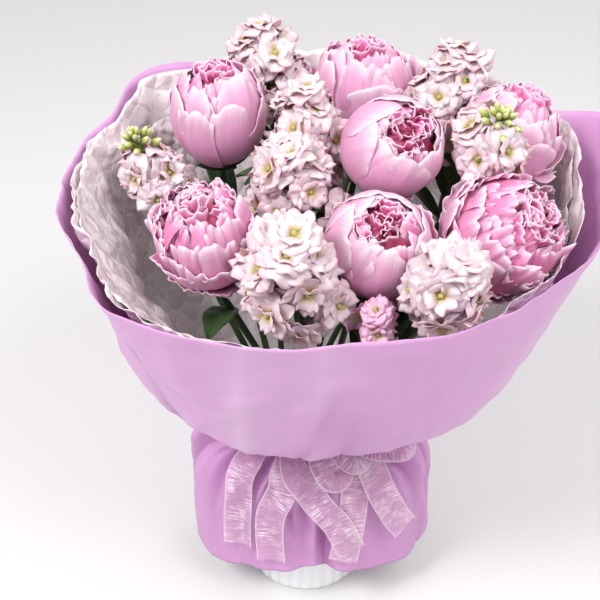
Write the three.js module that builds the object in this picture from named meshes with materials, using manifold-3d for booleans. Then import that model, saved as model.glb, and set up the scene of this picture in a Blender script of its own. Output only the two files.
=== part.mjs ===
// A bunch of pink peonies and blush stocks, wrapped in tissue and lilac paper, tied at the waist
// with an organza ribbon, standing in a white fluted vase.
// Millimetres, +Z up. The origin is the centre of the vase's foot; the bunch's front faces -Y.
import * as THREE from "three";
import { mergeVertices } from "three/addons/utils/BufferGeometryUtils.js";
import Module from "manifold-3d";

const wasm = await Module();
wasm.setup();

// ---- Driving dimensions -------------------------------------------------------------------------

const SEAT = 0.3; // clearance between pieces that touch
const VASE = { foot: 66, rim: 68.5, height: 150, wall: 5, floor: 7, flutes: 32, flute: 1.8, bevel: 1.5 };
const WAIST = { z: 208, stems: 36.8, half: 8 }; // height of the tie, reach of the stems inside it
const PAPER = 1.1; // thickness of each wrapping sheet
const SPREAD = { top: 510, waist: 0.08, foot: -0.2, twist: 0.13 }; // how the stems fan out and turn
const STEM = { radius: 2.7, sides: 5, steps: 7 };
const PAPER_SIDES = 32;

// Peonies: centre of the bloom, its radius, its height as a share of its width, the way it faces,
// and how far round (degrees from its base) each ring of petals reaches. A low reach leaves it open.
const PEONIES = [
  { at: [-79, 79, 506], radius: 44, tall: 1.15, facing: [0.2, 0.1, 0.97], reach: [142, 132, 122] },
  { at: [-79, -81, 487], radius: 41, tall: 1.15, facing: [-0.1, -0.25, 0.95], reach: [118, 126, 128] },
  { at: [51, 143, 499], radius: 49, tall: 1, facing: [0.1, 0.1, 0.98], reach: [132, 128, 120] },
  { at: [67, -9, 525], radius: 44, tall: 1, facing: [0.34, -0.6, 0.73], reach: [140, 130, 122] },
  { at: [51, -94, 490], radius: 43.5, tall: 1.04, facing: [0.14, -0.45, 0.88], reach: [138, 130, 122] },
  { at: [151, -71, 481], radius: 50, tall: 1, facing: [0.5, -0.35, 0.79], reach: [92, 112, 128] },
  { at: [172, 40, 508], radius: 45, tall: 1, facing: [0.45, 0.1, 0.89], reach: [100, 115, 125] },
];

// Stocks: centre of the flower spike, its radius and length, the way it points, and whether green
// buds still crown it.
const STOCKS = [
  { at: [-38, 146, 514], radius: 42, length: 66, facing: [-0.1, 0.15, 0.98] },
  { at: [-137, 36, 478], radius: 32, length: 58, facing: [-0.35, 0.05, 0.93], buds: true },
  { at: [0, 36, 516], radius: 37, length: 62, facing: [0.05, 0, 1] },
  { at: [-10, -21, 492], radius: 45, length: 62, facing: [-0.05, -0.2, 0.97] },
  { at: [-13, -126, 486], radius: 45, length: 68, facing: [-0.05, -0.4, 0.92] },
  { at: [126, 108, 507], radius: 40, length: 68, facing: [0.2, 0.15, 0.97] },
  { at: [142, -20, 535], radius: 34, length: 56, facing: [0.2, -0.3, 0.92], buds: true },
  { at: [97, -149, 495], radius: 34, length: 62, facing: [0.2, -0.3, 0.93] },
  { at: [49, -148, 460], radius: 22, length: 44, facing: [0.1, -0.25, 0.96] },
];

// Leaves: the peony stem that bears it, the height it leaves the stem, its bearing and its length.
const LEAVES = [
  { stem: 2, z: 392, bearing: -100, length: 78 },
  { stem: 3, z: 404, bearing: 96, length: 74 },
  { stem: 7, z: 405, bearing: 60, length: 72 },
  { stem: 1, z: 400, bearing: 110, length: 70 },
  { stem: 1, z: 392, bearing: -100, length: 72 },
  { stem: 5, z: 378, bearing: -84, length: 74 },
];
const LEAF = { width: 26, thick: 1.2, rise: 34, arch: 1.9, keel: 3, across: 2, along: 5 };

// Rim of the wrap by bearing (degrees): lilac sheet's reach at the height of the rim and its height,
// then how far inside it the tissue stands and the tissue's height.
const RIM = [
  { bearing: -180, reach: 203, top: 484, inset: 17, tissue: 490 },
  { bearing: -152, reach: 199, top: 490, inset: 24, tissue: 489 },
  { bearing: -122, reach: 224, top: 500, inset: 18, tissue: 494 },
  { bearing: -90, reach: 208, top: 495, inset: 7, tissue: 486 },
  { bearing: -60, reach: 220, top: 496, inset: 7, tissue: 486 },
  { bearing: -30, reach: 234, top: 500, inset: 14, tissue: 490 },
  { bearing: -8, reach: 250, top: 502, inset: 26, tissue: 494 },
  { bearing: 10, reach: 272, top: 516, inset: 35, tissue: 505 },
  { bearing: 32, reach: 250, top: 486, inset: 8, tissue: 507 },
  { bearing: 60, reach: 233, top: 470, inset: 6, tissue: 509 },
  { bearing: 90, reach: 225, top: 468, inset: 6, tissue: 509 },
  { bearing: 128, reach: 240, top: 496, inset: 14, tissue: 502 },
  { bearing: 152, reach: 206, top: 488, inset: 12, tissue: 494 },
];
const RIM_LEVEL = 500; // the height at which the reach of the rim is given
const TISSUE_ROOM = 4; // least room between the sheets away from the waist

// Belly of the wrap: its reach at one height, to the left, front, right and back.
const BELLY = { z: 312, left: 156, front: 141, right: 184, back: 152 };

// Skirt of paper below the waist: half profiles (reach, height) at its wide sides and at its front.
const SKIRT_SIDE = [[0, 205], [34, 202], [62, 190], [77, 163], [82, 110], [85, 52]];
const SKIRT_FRONT = [[0, 205], [17, 198], [31, 180], [38.5, 152], [43, 112], [47, 74]];
const SKIRT_PLEAT = { count: 9, depth: 3 };
const SKIRT_LEAN = 7; // lean to the right for a full share of the way down
const SKIRT_LOOSE = 0.2; // share of the way down where the pleats and the lean begin

const RIBBON = { width: 29, thick: 0.9, steps: 5, gather: 0.12, spread: 0.4, slope: 0.03 };

// ---- Colours ------------------------------------------------------------------------------------

const finish = (color, roughness) =>
  new THREE.MeshStandardMaterial({ color, roughness, metalness: 0, side: THREE.DoubleSide });
const PINK = finish(0xf0a8d4, 0.6);
const BLUSH = finish(0xf6e8ec, 0.65);
const GREEN = finish(0x56743a, 0.6);
const BUD = finish(0x9db24e, 0.6);
const LILAC = finish(0xd6a6e0, 0.55);
const TISSUE = finish(0xeee6e4, 0.45);
const ORGANZA = finish(0xe6b4e2, 0.35);
const GLAZE = finish(0xf1f3f3, 0.2);
const TWINE = finish(0x8aa06a, 0.8);

// ---- Solids -------------------------------------------------------------------------------------

const vec = (x, y, z) => new THREE.Vector3(x, y, z);
const rad = THREE.MathUtils.degToRad;
const lerp = THREE.MathUtils.lerp;

// A closed surface of points and triangles as a solid that faces out.
function solidOf(points, triangles) {
  let volume = 0;
  for (const [a, b, c] of triangles)
    volume += points[a].dot(vec(0, 0, 0).crossVectors(points[b], points[c]));
  const facing = volume < 0 ? triangles.map(([a, b, c]) => [a, c, b]) : triangles;
  return new wasm.Manifold(
    new wasm.Mesh({
      numProp: 3,
      vertProperties: new Float32Array(points.flatMap((p) => [p.x, p.y, p.z])),
      triVerts: new Uint32Array(facing.flat()),
    }),
  );
}

// A three.js geometry as a solid.
function solidOfGeometry(geometry) {
  geometry.deleteAttribute("normal");
  geometry.deleteAttribute("uv");
  const merged = mergeVertices(geometry, 1e-3);
  const position = merged.attributes.position;
  const points = Array.from({ length: position.count }, (_, i) => vec().fromBufferAttribute(position, i));
  const index = merged.index.array;
  const triangles = [];
  for (let i = 0; i < index.length; i += 3) triangles.push([index[i], index[i + 1], index[i + 2]]);
  return solidOf(points, triangles);
}

// The union of several solids as one body: sealed hollows are filled and loose scraps dropped.
function fuse(solids) {
  const bodies = solids.reduce((sum, next) => sum.add(next)).decompose();
  return bodies.reduce((most, next) => (next.volume() > most.volume() ? next : most));
}

function meshOf(name, solid, material) {
  const { numProp, numVert, vertProperties, triVerts } = solid.getMesh();
  const positions = new Float32Array(numVert * 3);
  for (let i = 0; i < numVert; i++)
    positions.set(vertProperties.subarray(i * numProp, i * numProp + 3), i * 3);
  const geometry = new THREE.BufferGeometry();
  geometry.setAttribute("position", new THREE.BufferAttribute(positions, 3));
  geometry.setIndex(new THREE.BufferAttribute(triVerts, 1));
  geometry.computeVertexNormals();
  const mesh = new THREE.Mesh(geometry, material);
  mesh.name = name;
  return mesh;
}

// Successive rings of points joined into a solid. "loop" joins the last ring to the first, as in a
// tube-shaped sheet that goes up its outer face and down its inner one, with both faces split into
// triangles alike; "caps" closes both ends flat.
function ringSolid(rings, ends) {
  const sides = rings[0].length;
  const points = rings.flat();
  const triangles = [];
  const bands = ends === "loop" ? rings.length : rings.length - 1;
  for (let j = 0; j < bands; j++)
    for (let i = 0; i < sides; i++) {
      const next = (i + 1) % sides;
      const here = j * sides;
      const above = ((j + 1) % rings.length) * sides;
      if (ends === "loop" && j >= rings.length / 2)
        triangles.push([here + i, here + next, above + next], [here + i, above + next, above + i]);
      else triangles.push([here + i, here + next, above + i], [here + next, above + next, above + i]);
    }
  if (ends === "caps")
    for (const [ring, flip] of [[0, true], [rings.length - 1, false]]) {
      const middle = points.push(centreOf(rings[ring])) - 1;
      for (let i = 0; i < sides; i++) {
        const a = ring * sides + i;
        const b = ring * sides + ((i + 1) % sides);
        triangles.push(flip ? [b, a, middle] : [a, b, middle]);
      }
    }
  return solidOf(points, triangles);
}

const centreOf = (ring) => ring.reduce((sum, p) => sum.add(p), vec(0, 0, 0)).divideScalar(ring.length);

// The outward normal of a surface face(u, v), from its slopes.
function normalOf(face, u, v, step = 0.02) {
  const alongU = face(u + step, v).sub(face(u - step, v));
  const alongV = face(u, v + step).sub(face(u, v - step));
  return alongU.cross(alongV).normalize();
}

// A thin blade: its outer face is face(u, v), u from -1 to 1 and v from 0 to 1. It is thickest in
// the middle, comes to an edge all round, and both faces are split into triangles alike.
function blade(face, thick, across, along) {
  const points = [];
  const outer = [];
  const inner = [];
  for (let j = 0; j <= along; j++)
    for (let i = 0; i <= across; i++) {
      const u = (2 * i) / across - 1;
      const v = j / along;
      const p = face(u, v);
      outer.push(points.push(p) - 1);
      const rim = i === 0 || i === across || j === 0 || j === along;
      if (rim) inner.push(outer.at(-1));
      else inner.push(points.push(p.clone().addScaledVector(normalOf(face, u, v), -thick)) - 1);
    }
  const triangles = [];
  for (let j = 0; j < along; j++)
    for (let i = 0; i < across; i++) {
      const a = j * (across + 1) + i;
      const b = a + 1;
      const c = a + across + 1;
      const d = c + 1;
      for (const [p, q, r] of [[a, b, d], [a, d, c]])
        triangles.push([outer[p], outer[q], outer[r]], [inner[p], inner[r], inner[q]]);
    }
  return solidOf(points, triangles.filter(([p, q, r]) => p !== q && q !== r && r !== p));
}

// A turning frame whose +Z points along an axis, at a place.
function frameAt(at, axis) {
  const turn = new THREE.Quaternion().setFromUnitVectors(vec(0, 0, 1), axis);
  return new THREE.Matrix4().compose(at, turn, vec(1, 1, 1));
}

const placeOf = ({ at, facing }) => frameAt(vec(...at), vec(...facing).normalize());

// A tapered plug between two heights on a local axis.
function plug(low, high, lowRadius, highRadius, sides, place) {
  const geometry = new THREE.CylinderGeometry(highRadius, lowRadius, high - low, sides);
  geometry.rotateX(Math.PI / 2).translate(0, 0, (high + low) / 2).applyMatrix4(place);
  return solidOfGeometry(geometry);
}

// ---- Where the stems run ------------------------------------------------------------------------

// The stems fan out from the waist and turn about it together, as in a spiral-tied bunch, so that no
// two cross. The spread at a height is a turn and a scale in plan, the same for every stem.
function spreadAt(z) {
  const above = Math.max(0, (z - WAIST.z) / (SPREAD.top - WAIST.z));
  const below = Math.max(0, (WAIST.z - z) / WAIST.z);
  const scale = SPREAD.waist + (1 - SPREAD.waist) * above + (SPREAD.foot - SPREAD.waist) * below;
  return { scale, twist: SPREAD.twist * Math.max(0, 1 - above) };
}

// Plan position, at height z, of the stem that reaches the point `end`.
function stemAt(end, z) {
  const top = spreadAt(end.z);
  const here = spreadAt(z);
  const size = top.scale ** 2 + top.twist ** 2;
  const scale = (here.scale * top.scale + here.twist * top.twist) / size;
  const twist = (here.twist * top.scale - here.scale * top.twist) / size;
  return vec(end.x * scale - end.y * twist, end.x * twist + end.y * scale, z);
}

const STEM_STATIONS = [60, 120, 175, 215, 260, 330, 400];
const NECK = 22; // the last stretch of a stem lies along the axis of its flower

function stemSolid(end, axis) {
  const neck = end.clone().addScaledVector(axis, -NECK);
  const slope = stemAt(neck, STEM_STATIONS[0]).sub(stemAt(neck, VASE.floor)).normalize();
  const foot = VASE.floor + SEAT + STEM.radius * Math.hypot(slope.x, slope.y);
  const course = [foot, ...STEM_STATIONS].map((z) => stemAt(neck, z));
  const curve = new THREE.CatmullRomCurve3([...course, neck, end], false, "centripetal");
  const section = new THREE.Shape(
    Array.from({ length: STEM.sides }, (_, i) => {
      const turn = (2 * Math.PI * i) / STEM.sides;
      return new THREE.Vector2(STEM.radius * Math.cos(turn), STEM.radius * Math.sin(turn));
    }),
  );
  const options = { steps: STEM.steps, extrudePath: curve, bevelEnabled: false };
  return { solid: solidOfGeometry(new THREE.ExtrudeGeometry(section, options)), curve };
}

// A leaf that leaves a stem at a height, arching up and out.
function leafSolid(curve, { z, bearing, length }) {
  const start = pointAtHeight(curve, z);
  const out = vec(Math.cos(rad(bearing)), Math.sin(rad(bearing)), 0);
  const side = vec(-out.y, out.x, 0);
  const face = (u, v) => {
    const width = (LEAF.width / 2) * Math.sin(Math.PI * lerp(0.06, 0.96, v)) ** 0.8;
    const rise = LEAF.rise * Math.sin(LEAF.arch * v) + LEAF.keel * Math.abs(u);
    return start
      .clone()
      .addScaledVector(out, length * v - STEM.radius / 2)
      .addScaledVector(side, width * u)
      .add(vec(0, 0, rise));
  };
  return blade(face, LEAF.thick, LEAF.across, LEAF.along);
}

function pointAtHeight(curve, z) {
  const points = curve.getPoints(200);
  return points.reduce((best, p) => (Math.abs(p.z - z) < Math.abs(best.z - z) ? p : best));
}

// ---- Peonies ------------------------------------------------------------------------------------

// The cone that the outer petals root in, the ball of small petals within, and the calyx below:
// sizes in millimetres, or as shares of the bloom's radius.
const BASE = { drop: 1.2, low: 5, high: 0.55, rise: 12, sides: 8 };
const HEART = { size: 0.58, drop: 0.2, ridge: 0.07, sides: 8, latitudes: [25, 70, 112, 152] };
const CALYX = { low: 3, high: 10, height: 7, sides: 6, overlap: 2 };

// A petal is thickest in its middle. One side is lifted over its neighbour and the other under it;
// neither reaches more than `widest` degrees round. Its rim is uneven by a share of its reach.
const PETAL = { thick: 1.4, lift: 1.9, across: 3, along: 3, overlap: 1.06, widest: 46, uneven: 0.03 };

// Rings of petals from the outside in: their number, the share of the bloom's radius they lie at,
// the angle from the bloom's base at which they root, and how much their edges are ruffled.
const PETAL_RINGS = [
  { petals: 5, share: 1, root: 12, ruffle: 0.8 },
  { petals: 4, share: 0.87, root: 35, ruffle: 1.2 },
  { petals: 3, share: 0.71, root: 46, ruffle: 1.6 },
];
const RING_TURN = 37; // how far each ring is turned past the one outside it

// A petal's width by the share of the way up it: narrower at the root and towards the rim.
const petalTaper = (v) => Math.min(1, 1.5 * Math.sin(Math.PI * lerp(0.3, 0.85, v)));

// One cupped petal of a ring, `turn` degrees round the bloom.
function petalFace(bloom, ring, turn, reach) {
  const alpha = rad(turn);
  const across = vec(-Math.sin(alpha), Math.cos(alpha), 0);
  const sphere = bloom.radius * ring.share;
  const wedge = Math.abs(Math.tan((Math.PI / ring.petals) * PETAL.overlap));
  return (u, v) => {
    const rim = rad(reach) * (1 + PETAL.uneven * Math.sin(5 * u + turn));
    const phi = lerp(rad(ring.root), rim, v);
    const side = u * Math.min(rad(PETAL.widest), Math.atan(Math.sin(phi) * wedge)) * petalTaper(v);
    const wave = ring.ruffle * (Math.cos(4.7 * u + turn) - 1) * v * v;
    const radius = sphere + PETAL.lift * (u * Math.min(1, 2 * v) - 1) + wave;
    const up = vec(Math.sin(phi) * Math.cos(alpha), Math.sin(phi) * Math.sin(alpha), -Math.cos(phi));
    return up.multiplyScalar(radius * Math.cos(side)).addScaledVector(across, radius * Math.sin(side));
  };
}

// Height of a bloom's underside on its own axis.
const undersideOf = (bloom) => -(bloom.radius + BASE.drop) * bloom.tall;

function peonySolid(bloom, place) {
  const [low, high] = [-bloom.radius - BASE.drop, -bloom.radius + BASE.rise];
  const still = new THREE.Matrix4();
  const pieces = [plug(low, high, BASE.low, BASE.high * bloom.radius, BASE.sides, still), heartSolid(bloom)];
  PETAL_RINGS.forEach((ring, k) => {
    for (let i = 0; i < ring.petals; i++) {
      const face = petalFace(bloom, ring, (360 * i) / ring.petals + RING_TURN * k, bloom.reach[k]);
      pieces.push(blade(face, PETAL.thick, PETAL.across, PETAL.along));
    }
  });
  const tall = new THREE.Matrix4().makeScale(1, 1, bloom.tall).premultiply(place);
  return fuse(pieces).transform(tall.toArray());
}

// The crumpled small petals at the heart, as one ruffled ball.
function heartSolid(bloom) {
  const rings = HEART.latitudes.map((latitude, k) =>
    Array.from({ length: HEART.sides }, (_, i) => {
      const ridge = HEART.size * bloom.radius * (1 + HEART.ridge * (((i + k) % 2) * 2 - 1));
      const turn = (2 * Math.PI * i) / HEART.sides;
      const flat = ridge * Math.sin(rad(latitude));
      const z = -HEART.drop * bloom.radius - ridge * Math.cos(rad(latitude));
      return vec(flat * Math.cos(turn), flat * Math.sin(turn), z);
    }),
  );
  return ringSolid(rings, "caps");
}

function peonyStemSolid(bloom, place, leaves) {
  const rim = undersideOf(bloom) - SEAT;
  const end = vec(0, 0, rim - CALYX.height + CALYX.overlap).applyMatrix4(place);
  const { solid, curve } = stemSolid(end, vec(0, 0, 1).transformDirection(place));
  const calyx = plug(rim - CALYX.height, rim, CALYX.low, CALYX.high, CALYX.sides, place);
  return fuse([solid, calyx, ...leaves.map((leaf) => leafSolid(curve, leaf))]);
}

// ---- Stocks -------------------------------------------------------------------------------------

const GOLDEN = 137.5; // degrees between one floret and the next up the spike
const CORE = { low: 3.2, high: 2.6, sides: 6 };

// A floret's radius, the part of a spike's side that each covers, and the points of its surface as
// shares of its radius: reach and height of a petal's tip, of the cleft between two petals and of
// the fold round the middle, and the height of the dimple in the middle.
const FLORET = {
  radius: 21,
  most: 0.8, // largest radius, as a share of the spike's
  covers: 1500,
  least: 5, // fewest on a spike
  petals: 4,
  tip: [1, -0.2],
  cleft: [0.74, 0.16],
  fold: [0.45, 0.42],
  dimple: 0.12,
};

// Florets start and end a little inside the spike's ends, face out at its foot and up at its tip,
// and leave room for buds where it has them.
const SPIKE = { foot: 10, tip: 14, faces: [5, 72], sunk: 0.3, slim: 4, budded: 0.62, budRoom: 4, tipRoom: 8 };

const CLEAR = { bloom: 1.2, tissue: 2.6 }; // room kept from a peony and from the tissue's outer face

// A point pressed clear of every peony, kept on this spike's own side of the other spikes, and kept
// inside the tissue.
function pressedClear(point, spike) {
  let p = point;
  for (const bloom of PEONIES) {
    const place = placeOf(bloom).multiply(new THREE.Matrix4().makeScale(1, 1, bloom.tall));
    const local = p.clone().applyMatrix4(place.clone().invert());
    const least = bloom.radius + CLEAR.bloom;
    if (local.length() < least) p = local.setLength(least).applyMatrix4(place);
  }
  for (const other of STOCKS) {
    if (other === spike) continue;
    const gap = vec(...other.at).sub(vec(...spike.at));
    const share = (spike.radius / (spike.radius + other.radius)) * gap.length() - SEAT;
    const toward = gap.normalize();
    const beyond = p.clone().sub(vec(...spike.at)).dot(toward) - share;
    if (beyond > 0) p = p.clone().addScaledVector(toward, -beyond);
  }
  const bearing = THREE.MathUtils.radToDeg(Math.atan2(p.y, p.x));
  const most = tissueReachAt(bearing, p.z) - CLEAR.tissue;
  const reach = Math.hypot(p.x, p.y);
  return reach > most ? vec((p.x * most) / reach, (p.y * most) / reach, p.z) : p;
}

// One double floret: a dimpled dome with four broad petals, on a pedicel from the spike's core.
function floretSolid(spike, root, centre, facing, turn) {
  const place = frameAt(centre, facing);
  const size = Math.min(FLORET.radius, FLORET.most * spike.radius);
  const at = ([reach, height], share) => {
    const bearing = turn + 2 * Math.PI * share;
    const p = vec(reach * Math.cos(bearing), reach * Math.sin(bearing), height).multiplyScalar(size);
    return pressedClear(p.applyMatrix4(place), spike);
  };
  const points = [at([0, FLORET.dimple], 0), root];
  const [dimple, foot] = [0, 1];
  const [tip, cleft, fold] = [FLORET.tip, FLORET.cleft, FLORET.fold].map((place) =>
    Array.from({ length: FLORET.petals }, (_, k) => {
      const share = (k + (place === FLORET.cleft ? 0.5 : 0)) / FLORET.petals;
      return points.push(at(place, share)) - 1;
    }),
  );
  const triangles = [];
  for (let k = 0; k < FLORET.petals; k++) {
    const next = (k + 1) % FLORET.petals;
    triangles.push([tip[k], cleft[k], fold[k]], [cleft[k], fold[next], fold[k]]);
    triangles.push([cleft[k], tip[next], fold[next]], [fold[k], fold[next], dimple]);
    triangles.push([cleft[k], tip[k], foot], [tip[next], cleft[k], foot]);
  }
  return solidOf(points, triangles);
}

function stockSolid(spike, place) {
  const half = spike.length / 2;
  const crown = half - (spike.buds ? SPIKE.budRoom : SPIKE.tipRoom);
  const pieces = [plug(-half, crown, CORE.low, CORE.high, CORE.sides, place)];
  const side = 2 * Math.PI * spike.radius * spike.length;
  const florets = Math.max(FLORET.least, Math.round(side / FLORET.covers));
  const highest = spike.buds ? SPIKE.budded : 1;
  for (let i = 0; i < florets; i++) {
    const share = (i / (florets - 1)) * highest;
    const bearing = rad(GOLDEN * i);
    const climb = rad(lerp(...SPIKE.faces, share ** 1.5));
    const flat = Math.cos(climb);
    const way = vec(flat * Math.cos(bearing), flat * Math.sin(bearing), Math.sin(climb));
    const facing = way.transformDirection(place);
    const node = vec(0, 0, lerp(-half + SPIKE.foot, half - SPIKE.tip, share)).applyMatrix4(place);
    const reach = spike.radius - SPIKE.sunk * FLORET.radius - SPIKE.slim * share;
    const centre = node.clone().addScaledVector(facing, reach);
    pieces.push(floretSolid(spike, node, centre, facing, i));
  }
  return fuse(pieces);
}

const BUDS = { count: 4, length: 9, width: 3.4, lean: 0.8, stalk: 1.8, height: 7, root: 4.5, sides: 6 };

// Green buds crowded at the tip of a spike.
function budSolid(spike, place) {
  const low = spike.length / 2 - SPIKE.budRoom + SEAT;
  const pieces = [plug(low, low + BUDS.height, BUDS.stalk, BUDS.stalk, BUDS.sides, place)];
  for (let i = 0; i < BUDS.count; i++) {
    const lean = i === 0 ? 0 : BUDS.lean;
    const bearing = (2 * Math.PI * i) / (BUDS.count - 1);
    const way = vec(lean * Math.cos(bearing), lean * Math.sin(bearing), 1).normalize();
    const centre = vec(0, 0, low + BUDS.root).addScaledVector(way, BUDS.length / 2);
    const bud = new THREE.IcosahedronGeometry(1, 0);
    bud.scale(BUDS.width, BUDS.width, BUDS.length / 2);
    bud.applyMatrix4(frameAt(centre, way)).applyMatrix4(place);
    pieces.push(solidOfGeometry(bud));
  }
  return fuse(pieces);
}

// ---- Vase and tie -------------------------------------------------------------------------------

const TIE = { thick: 2, sides: 18 };

function vaseSolid() {
  const sides = VASE.flutes * 2;
  const ring = (radius, z, flute) =>
    Array.from({ length: sides }, (_, i) => {
      const turn = (2 * Math.PI * i) / sides;
      const r = radius - (i % 2) * flute;
      return vec(r * Math.cos(turn), r * Math.sin(turn), z);
    });
  const { foot, rim, height, wall, floor, flute, bevel } = VASE;
  return ringSolid(
    [
      ring(foot - bevel - flute, 0, 0),
      ring(foot, bevel, flute),
      ring(rim, height - bevel, flute),
      ring(rim - bevel, height, 0),
      ring(rim - wall - flute, height, 0),
      ring(foot - wall - flute, floor, 0),
    ],
    "caps",
  );
}

function tieSolid() {
  const [inner, outer] = [WAIST.stems, WAIST.stems + TIE.thick];
  const [low, high] = [WAIST.z - WAIST.half, WAIST.z + WAIST.half];
  const corners = [[inner, low], [outer, low], [outer, high], [inner, high], [inner, low]];
  const profile = corners.map(([reach, z]) => new THREE.Vector2(reach, z));
  return solidOfGeometry(new THREE.LatheGeometry(profile, TIE.sides).rotateX(Math.PI / 2));
}

// ---- Wrapping -----------------------------------------------------------------------------------

// Reach of each layer's outer face at the waist, from the stems outward.
const LAYER_STEP = SEAT + PAPER;
const TIE_REACH = WAIST.stems + TIE.thick;
const LAYER = {
  tissue: TIE_REACH + LAYER_STEP,
  collar: TIE_REACH + 2 * LAYER_STEP,
  skirt: TIE_REACH + 3 * LAYER_STEP,
};

// A value of the rim table at any bearing, eased between its rows.
function rimAt(bearing, key) {
  const turn = THREE.MathUtils.euclideanModulo(bearing + 180, 360) - 180;
  const last = RIM.findLastIndex((row) => row.bearing <= turn);
  const from = RIM[last];
  const to = RIM[(last + 1) % RIM.length];
  const span = THREE.MathUtils.euclideanModulo(to.bearing - from.bearing, 360);
  const share = (turn - from.bearing) / span;
  return lerp(from[key], to[key], share * share * (3 - 2 * share));
}

function bellyAt(bearing) {
  const side = Math.cos(rad(bearing));
  const front = -Math.sin(rad(bearing));
  const across = side > 0 ? BELLY.right : BELLY.left;
  const along = front > 0 ? BELLY.front : BELLY.back;
  return across * side * side + along * front * front;
}

// The wrap runs straight past the tie, and then passes two points given as shares of the way out and
// up: from the waist to the belly, and from the belly to the rim.
const FLARE = { below: 4, above: 2, low: { out: 0.62, up: 0.55 }, high: { out: 0.52, up: 0.46 } };

// The wrap's profile at a bearing, as (reach, height): from below the waist, out round the belly and
// up to the rim. The tissue lies inside the lilac sheet, closer in at the waist than at the rim.
function wrapCurve(bearing, sheet) {
  const belly = bellyAt(bearing);
  const rim = rimAt(bearing, "reach");
  const inside = sheet === "tissue";
  const waist = inside ? LAYER.tissue : LAYER.collar;
  const inset = inside ? Math.max(TISSUE_ROOM, rimAt(bearing, "inset")) : 0;
  const room = inside ? TISSUE_ROOM : 0;
  const top = rimAt(bearing, inside ? "tissue" : "top");
  const stations = [
    vec(waist, WAIST.z - WAIST.half - FLARE.below, 0),
    vec(waist, WAIST.z + WAIST.half + FLARE.above + room, 0),
    vec(lerp(LAYER.collar, belly, FLARE.low.out) - room, lerp(WAIST.z, BELLY.z, FLARE.low.up), 0),
    vec(belly - room, BELLY.z, 0),
    vec(
      lerp(belly, rim, FLARE.high.out) - lerp(room, inset, 0.5),
      lerp(BELLY.z, RIM_LEVEL, FLARE.high.up),
      0,
    ),
    vec(rim - inset, top, 0),
  ];
  return new THREE.CatmullRomCurve3(stations, false, "centripetal");
}

// How far out the tissue stands at a bearing and a height.
function tissueReachAt(bearing, z) {
  const points = wrapCurve(bearing, "tissue").getPoints(30);
  const next = points.findIndex((p) => p.y > z);
  if (next < 1) return points.at(next).x;
  const [from, to] = [points[next - 1], points[next]];
  return lerp(from.x, to.x, (z - from.y) / (to.y - from.y));
}

const sharesOf = (count) => Array.from({ length: count + 1 }, (_, i) => i / count);
const WRAP_ROWS = sharesOf(5);
const SKIRT_ROWS = sharesOf(6);
const SLOPE = { turn: 2, share: 0.02 }; // how far apart two points are taken to find a sheet's slope

// The share at which a sheet's slope is taken, kept inside its ends.
const slopeShare = (share) => THREE.MathUtils.clamp(share, SLOPE.share, 1 - SLOPE.share);

// The normal of a sheet face(bearing, share), which faces out where the shares run upward.
function sheetNormal(face, bearing, share) {
  const v = slopeShare(share);
  const across = face(bearing + SLOPE.turn, v).sub(face(bearing - SLOPE.turn, v));
  const along = face(bearing, v + SLOPE.share).sub(face(bearing, v - SLOPE.share));
  return across.cross(along).normalize();
}

// A tube-shaped shell of a sheet's thickness: up along its outer face and back along its inner one.
function shellSolid(face, rows, inward) {
  const bearings = Array.from({ length: PAPER_SIDES }, (_, i) => (360 * i) / PAPER_SIDES);
  const outer = rows.map((share) => bearings.map((bearing) => face(bearing, share)));
  const inner = rows.map((share) =>
    bearings.map((bearing) =>
      face(bearing, share).addScaledVector(sheetNormal(face, bearing, share), inward * PAPER),
    ),
  );
  return ringSolid([...outer, ...inner.reverse()], "loop");
}

// A wrapping sheet, from below the waist to the rim.
function wrapSolid(sheet) {
  const face = (bearing, share) => {
    const p = wrapCurve(bearing, sheet).getPoint(share);
    return vec(p.x * Math.cos(rad(bearing)), p.x * Math.sin(rad(bearing)), p.y);
  };
  return shellSolid(face, WRAP_ROWS, -1);
}

// The skirt's profile at its sides or its front, from the waist to the hem.
function profileCurve(rows) {
  const waist = vec(LAYER.skirt, WAIST.z + WAIST.half, 0);
  const stations = rows.map(([reach, z]) => vec(LAYER.skirt + reach, z, 0));
  return new THREE.CatmullRomCurve3([waist, ...stations], false, "centripetal");
}

const sideCurve = profileCurve(SKIRT_SIDE);
const frontCurve = profileCurve(SKIRT_FRONT);

// A point of the skirt at a bearing, a share of the way from the waist to the hem. It is smooth and
// upright at the waist, and pleated and leaning further down.
function skirtFace(bearing, share) {
  const wide = Math.cos(rad(bearing)) ** 2;
  const side = sideCurve.getPoint(share);
  const front = frontCurve.getPoint(share);
  const loose = Math.max(0, share - SKIRT_LOOSE);
  const pleat = SKIRT_PLEAT.depth * loose * Math.sin(rad(SKIRT_PLEAT.count * bearing));
  const reach = lerp(front.x, side.x, wide) + pleat;
  const x = reach * Math.cos(rad(bearing)) + SKIRT_LEAN * loose;
  return vec(x, reach * Math.sin(rad(bearing)), lerp(front.y, side.y, wide));
}

// The skirt's shares run down, so its sheet normal faces in.
const skirtNormal = (bearing, share) => sheetNormal(skirtFace, bearing, share).negate();

const skirtSolid = () => shellSolid(skirtFace, SKIRT_ROWS, 1);

// ---- Ribbon -------------------------------------------------------------------------------------

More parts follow.
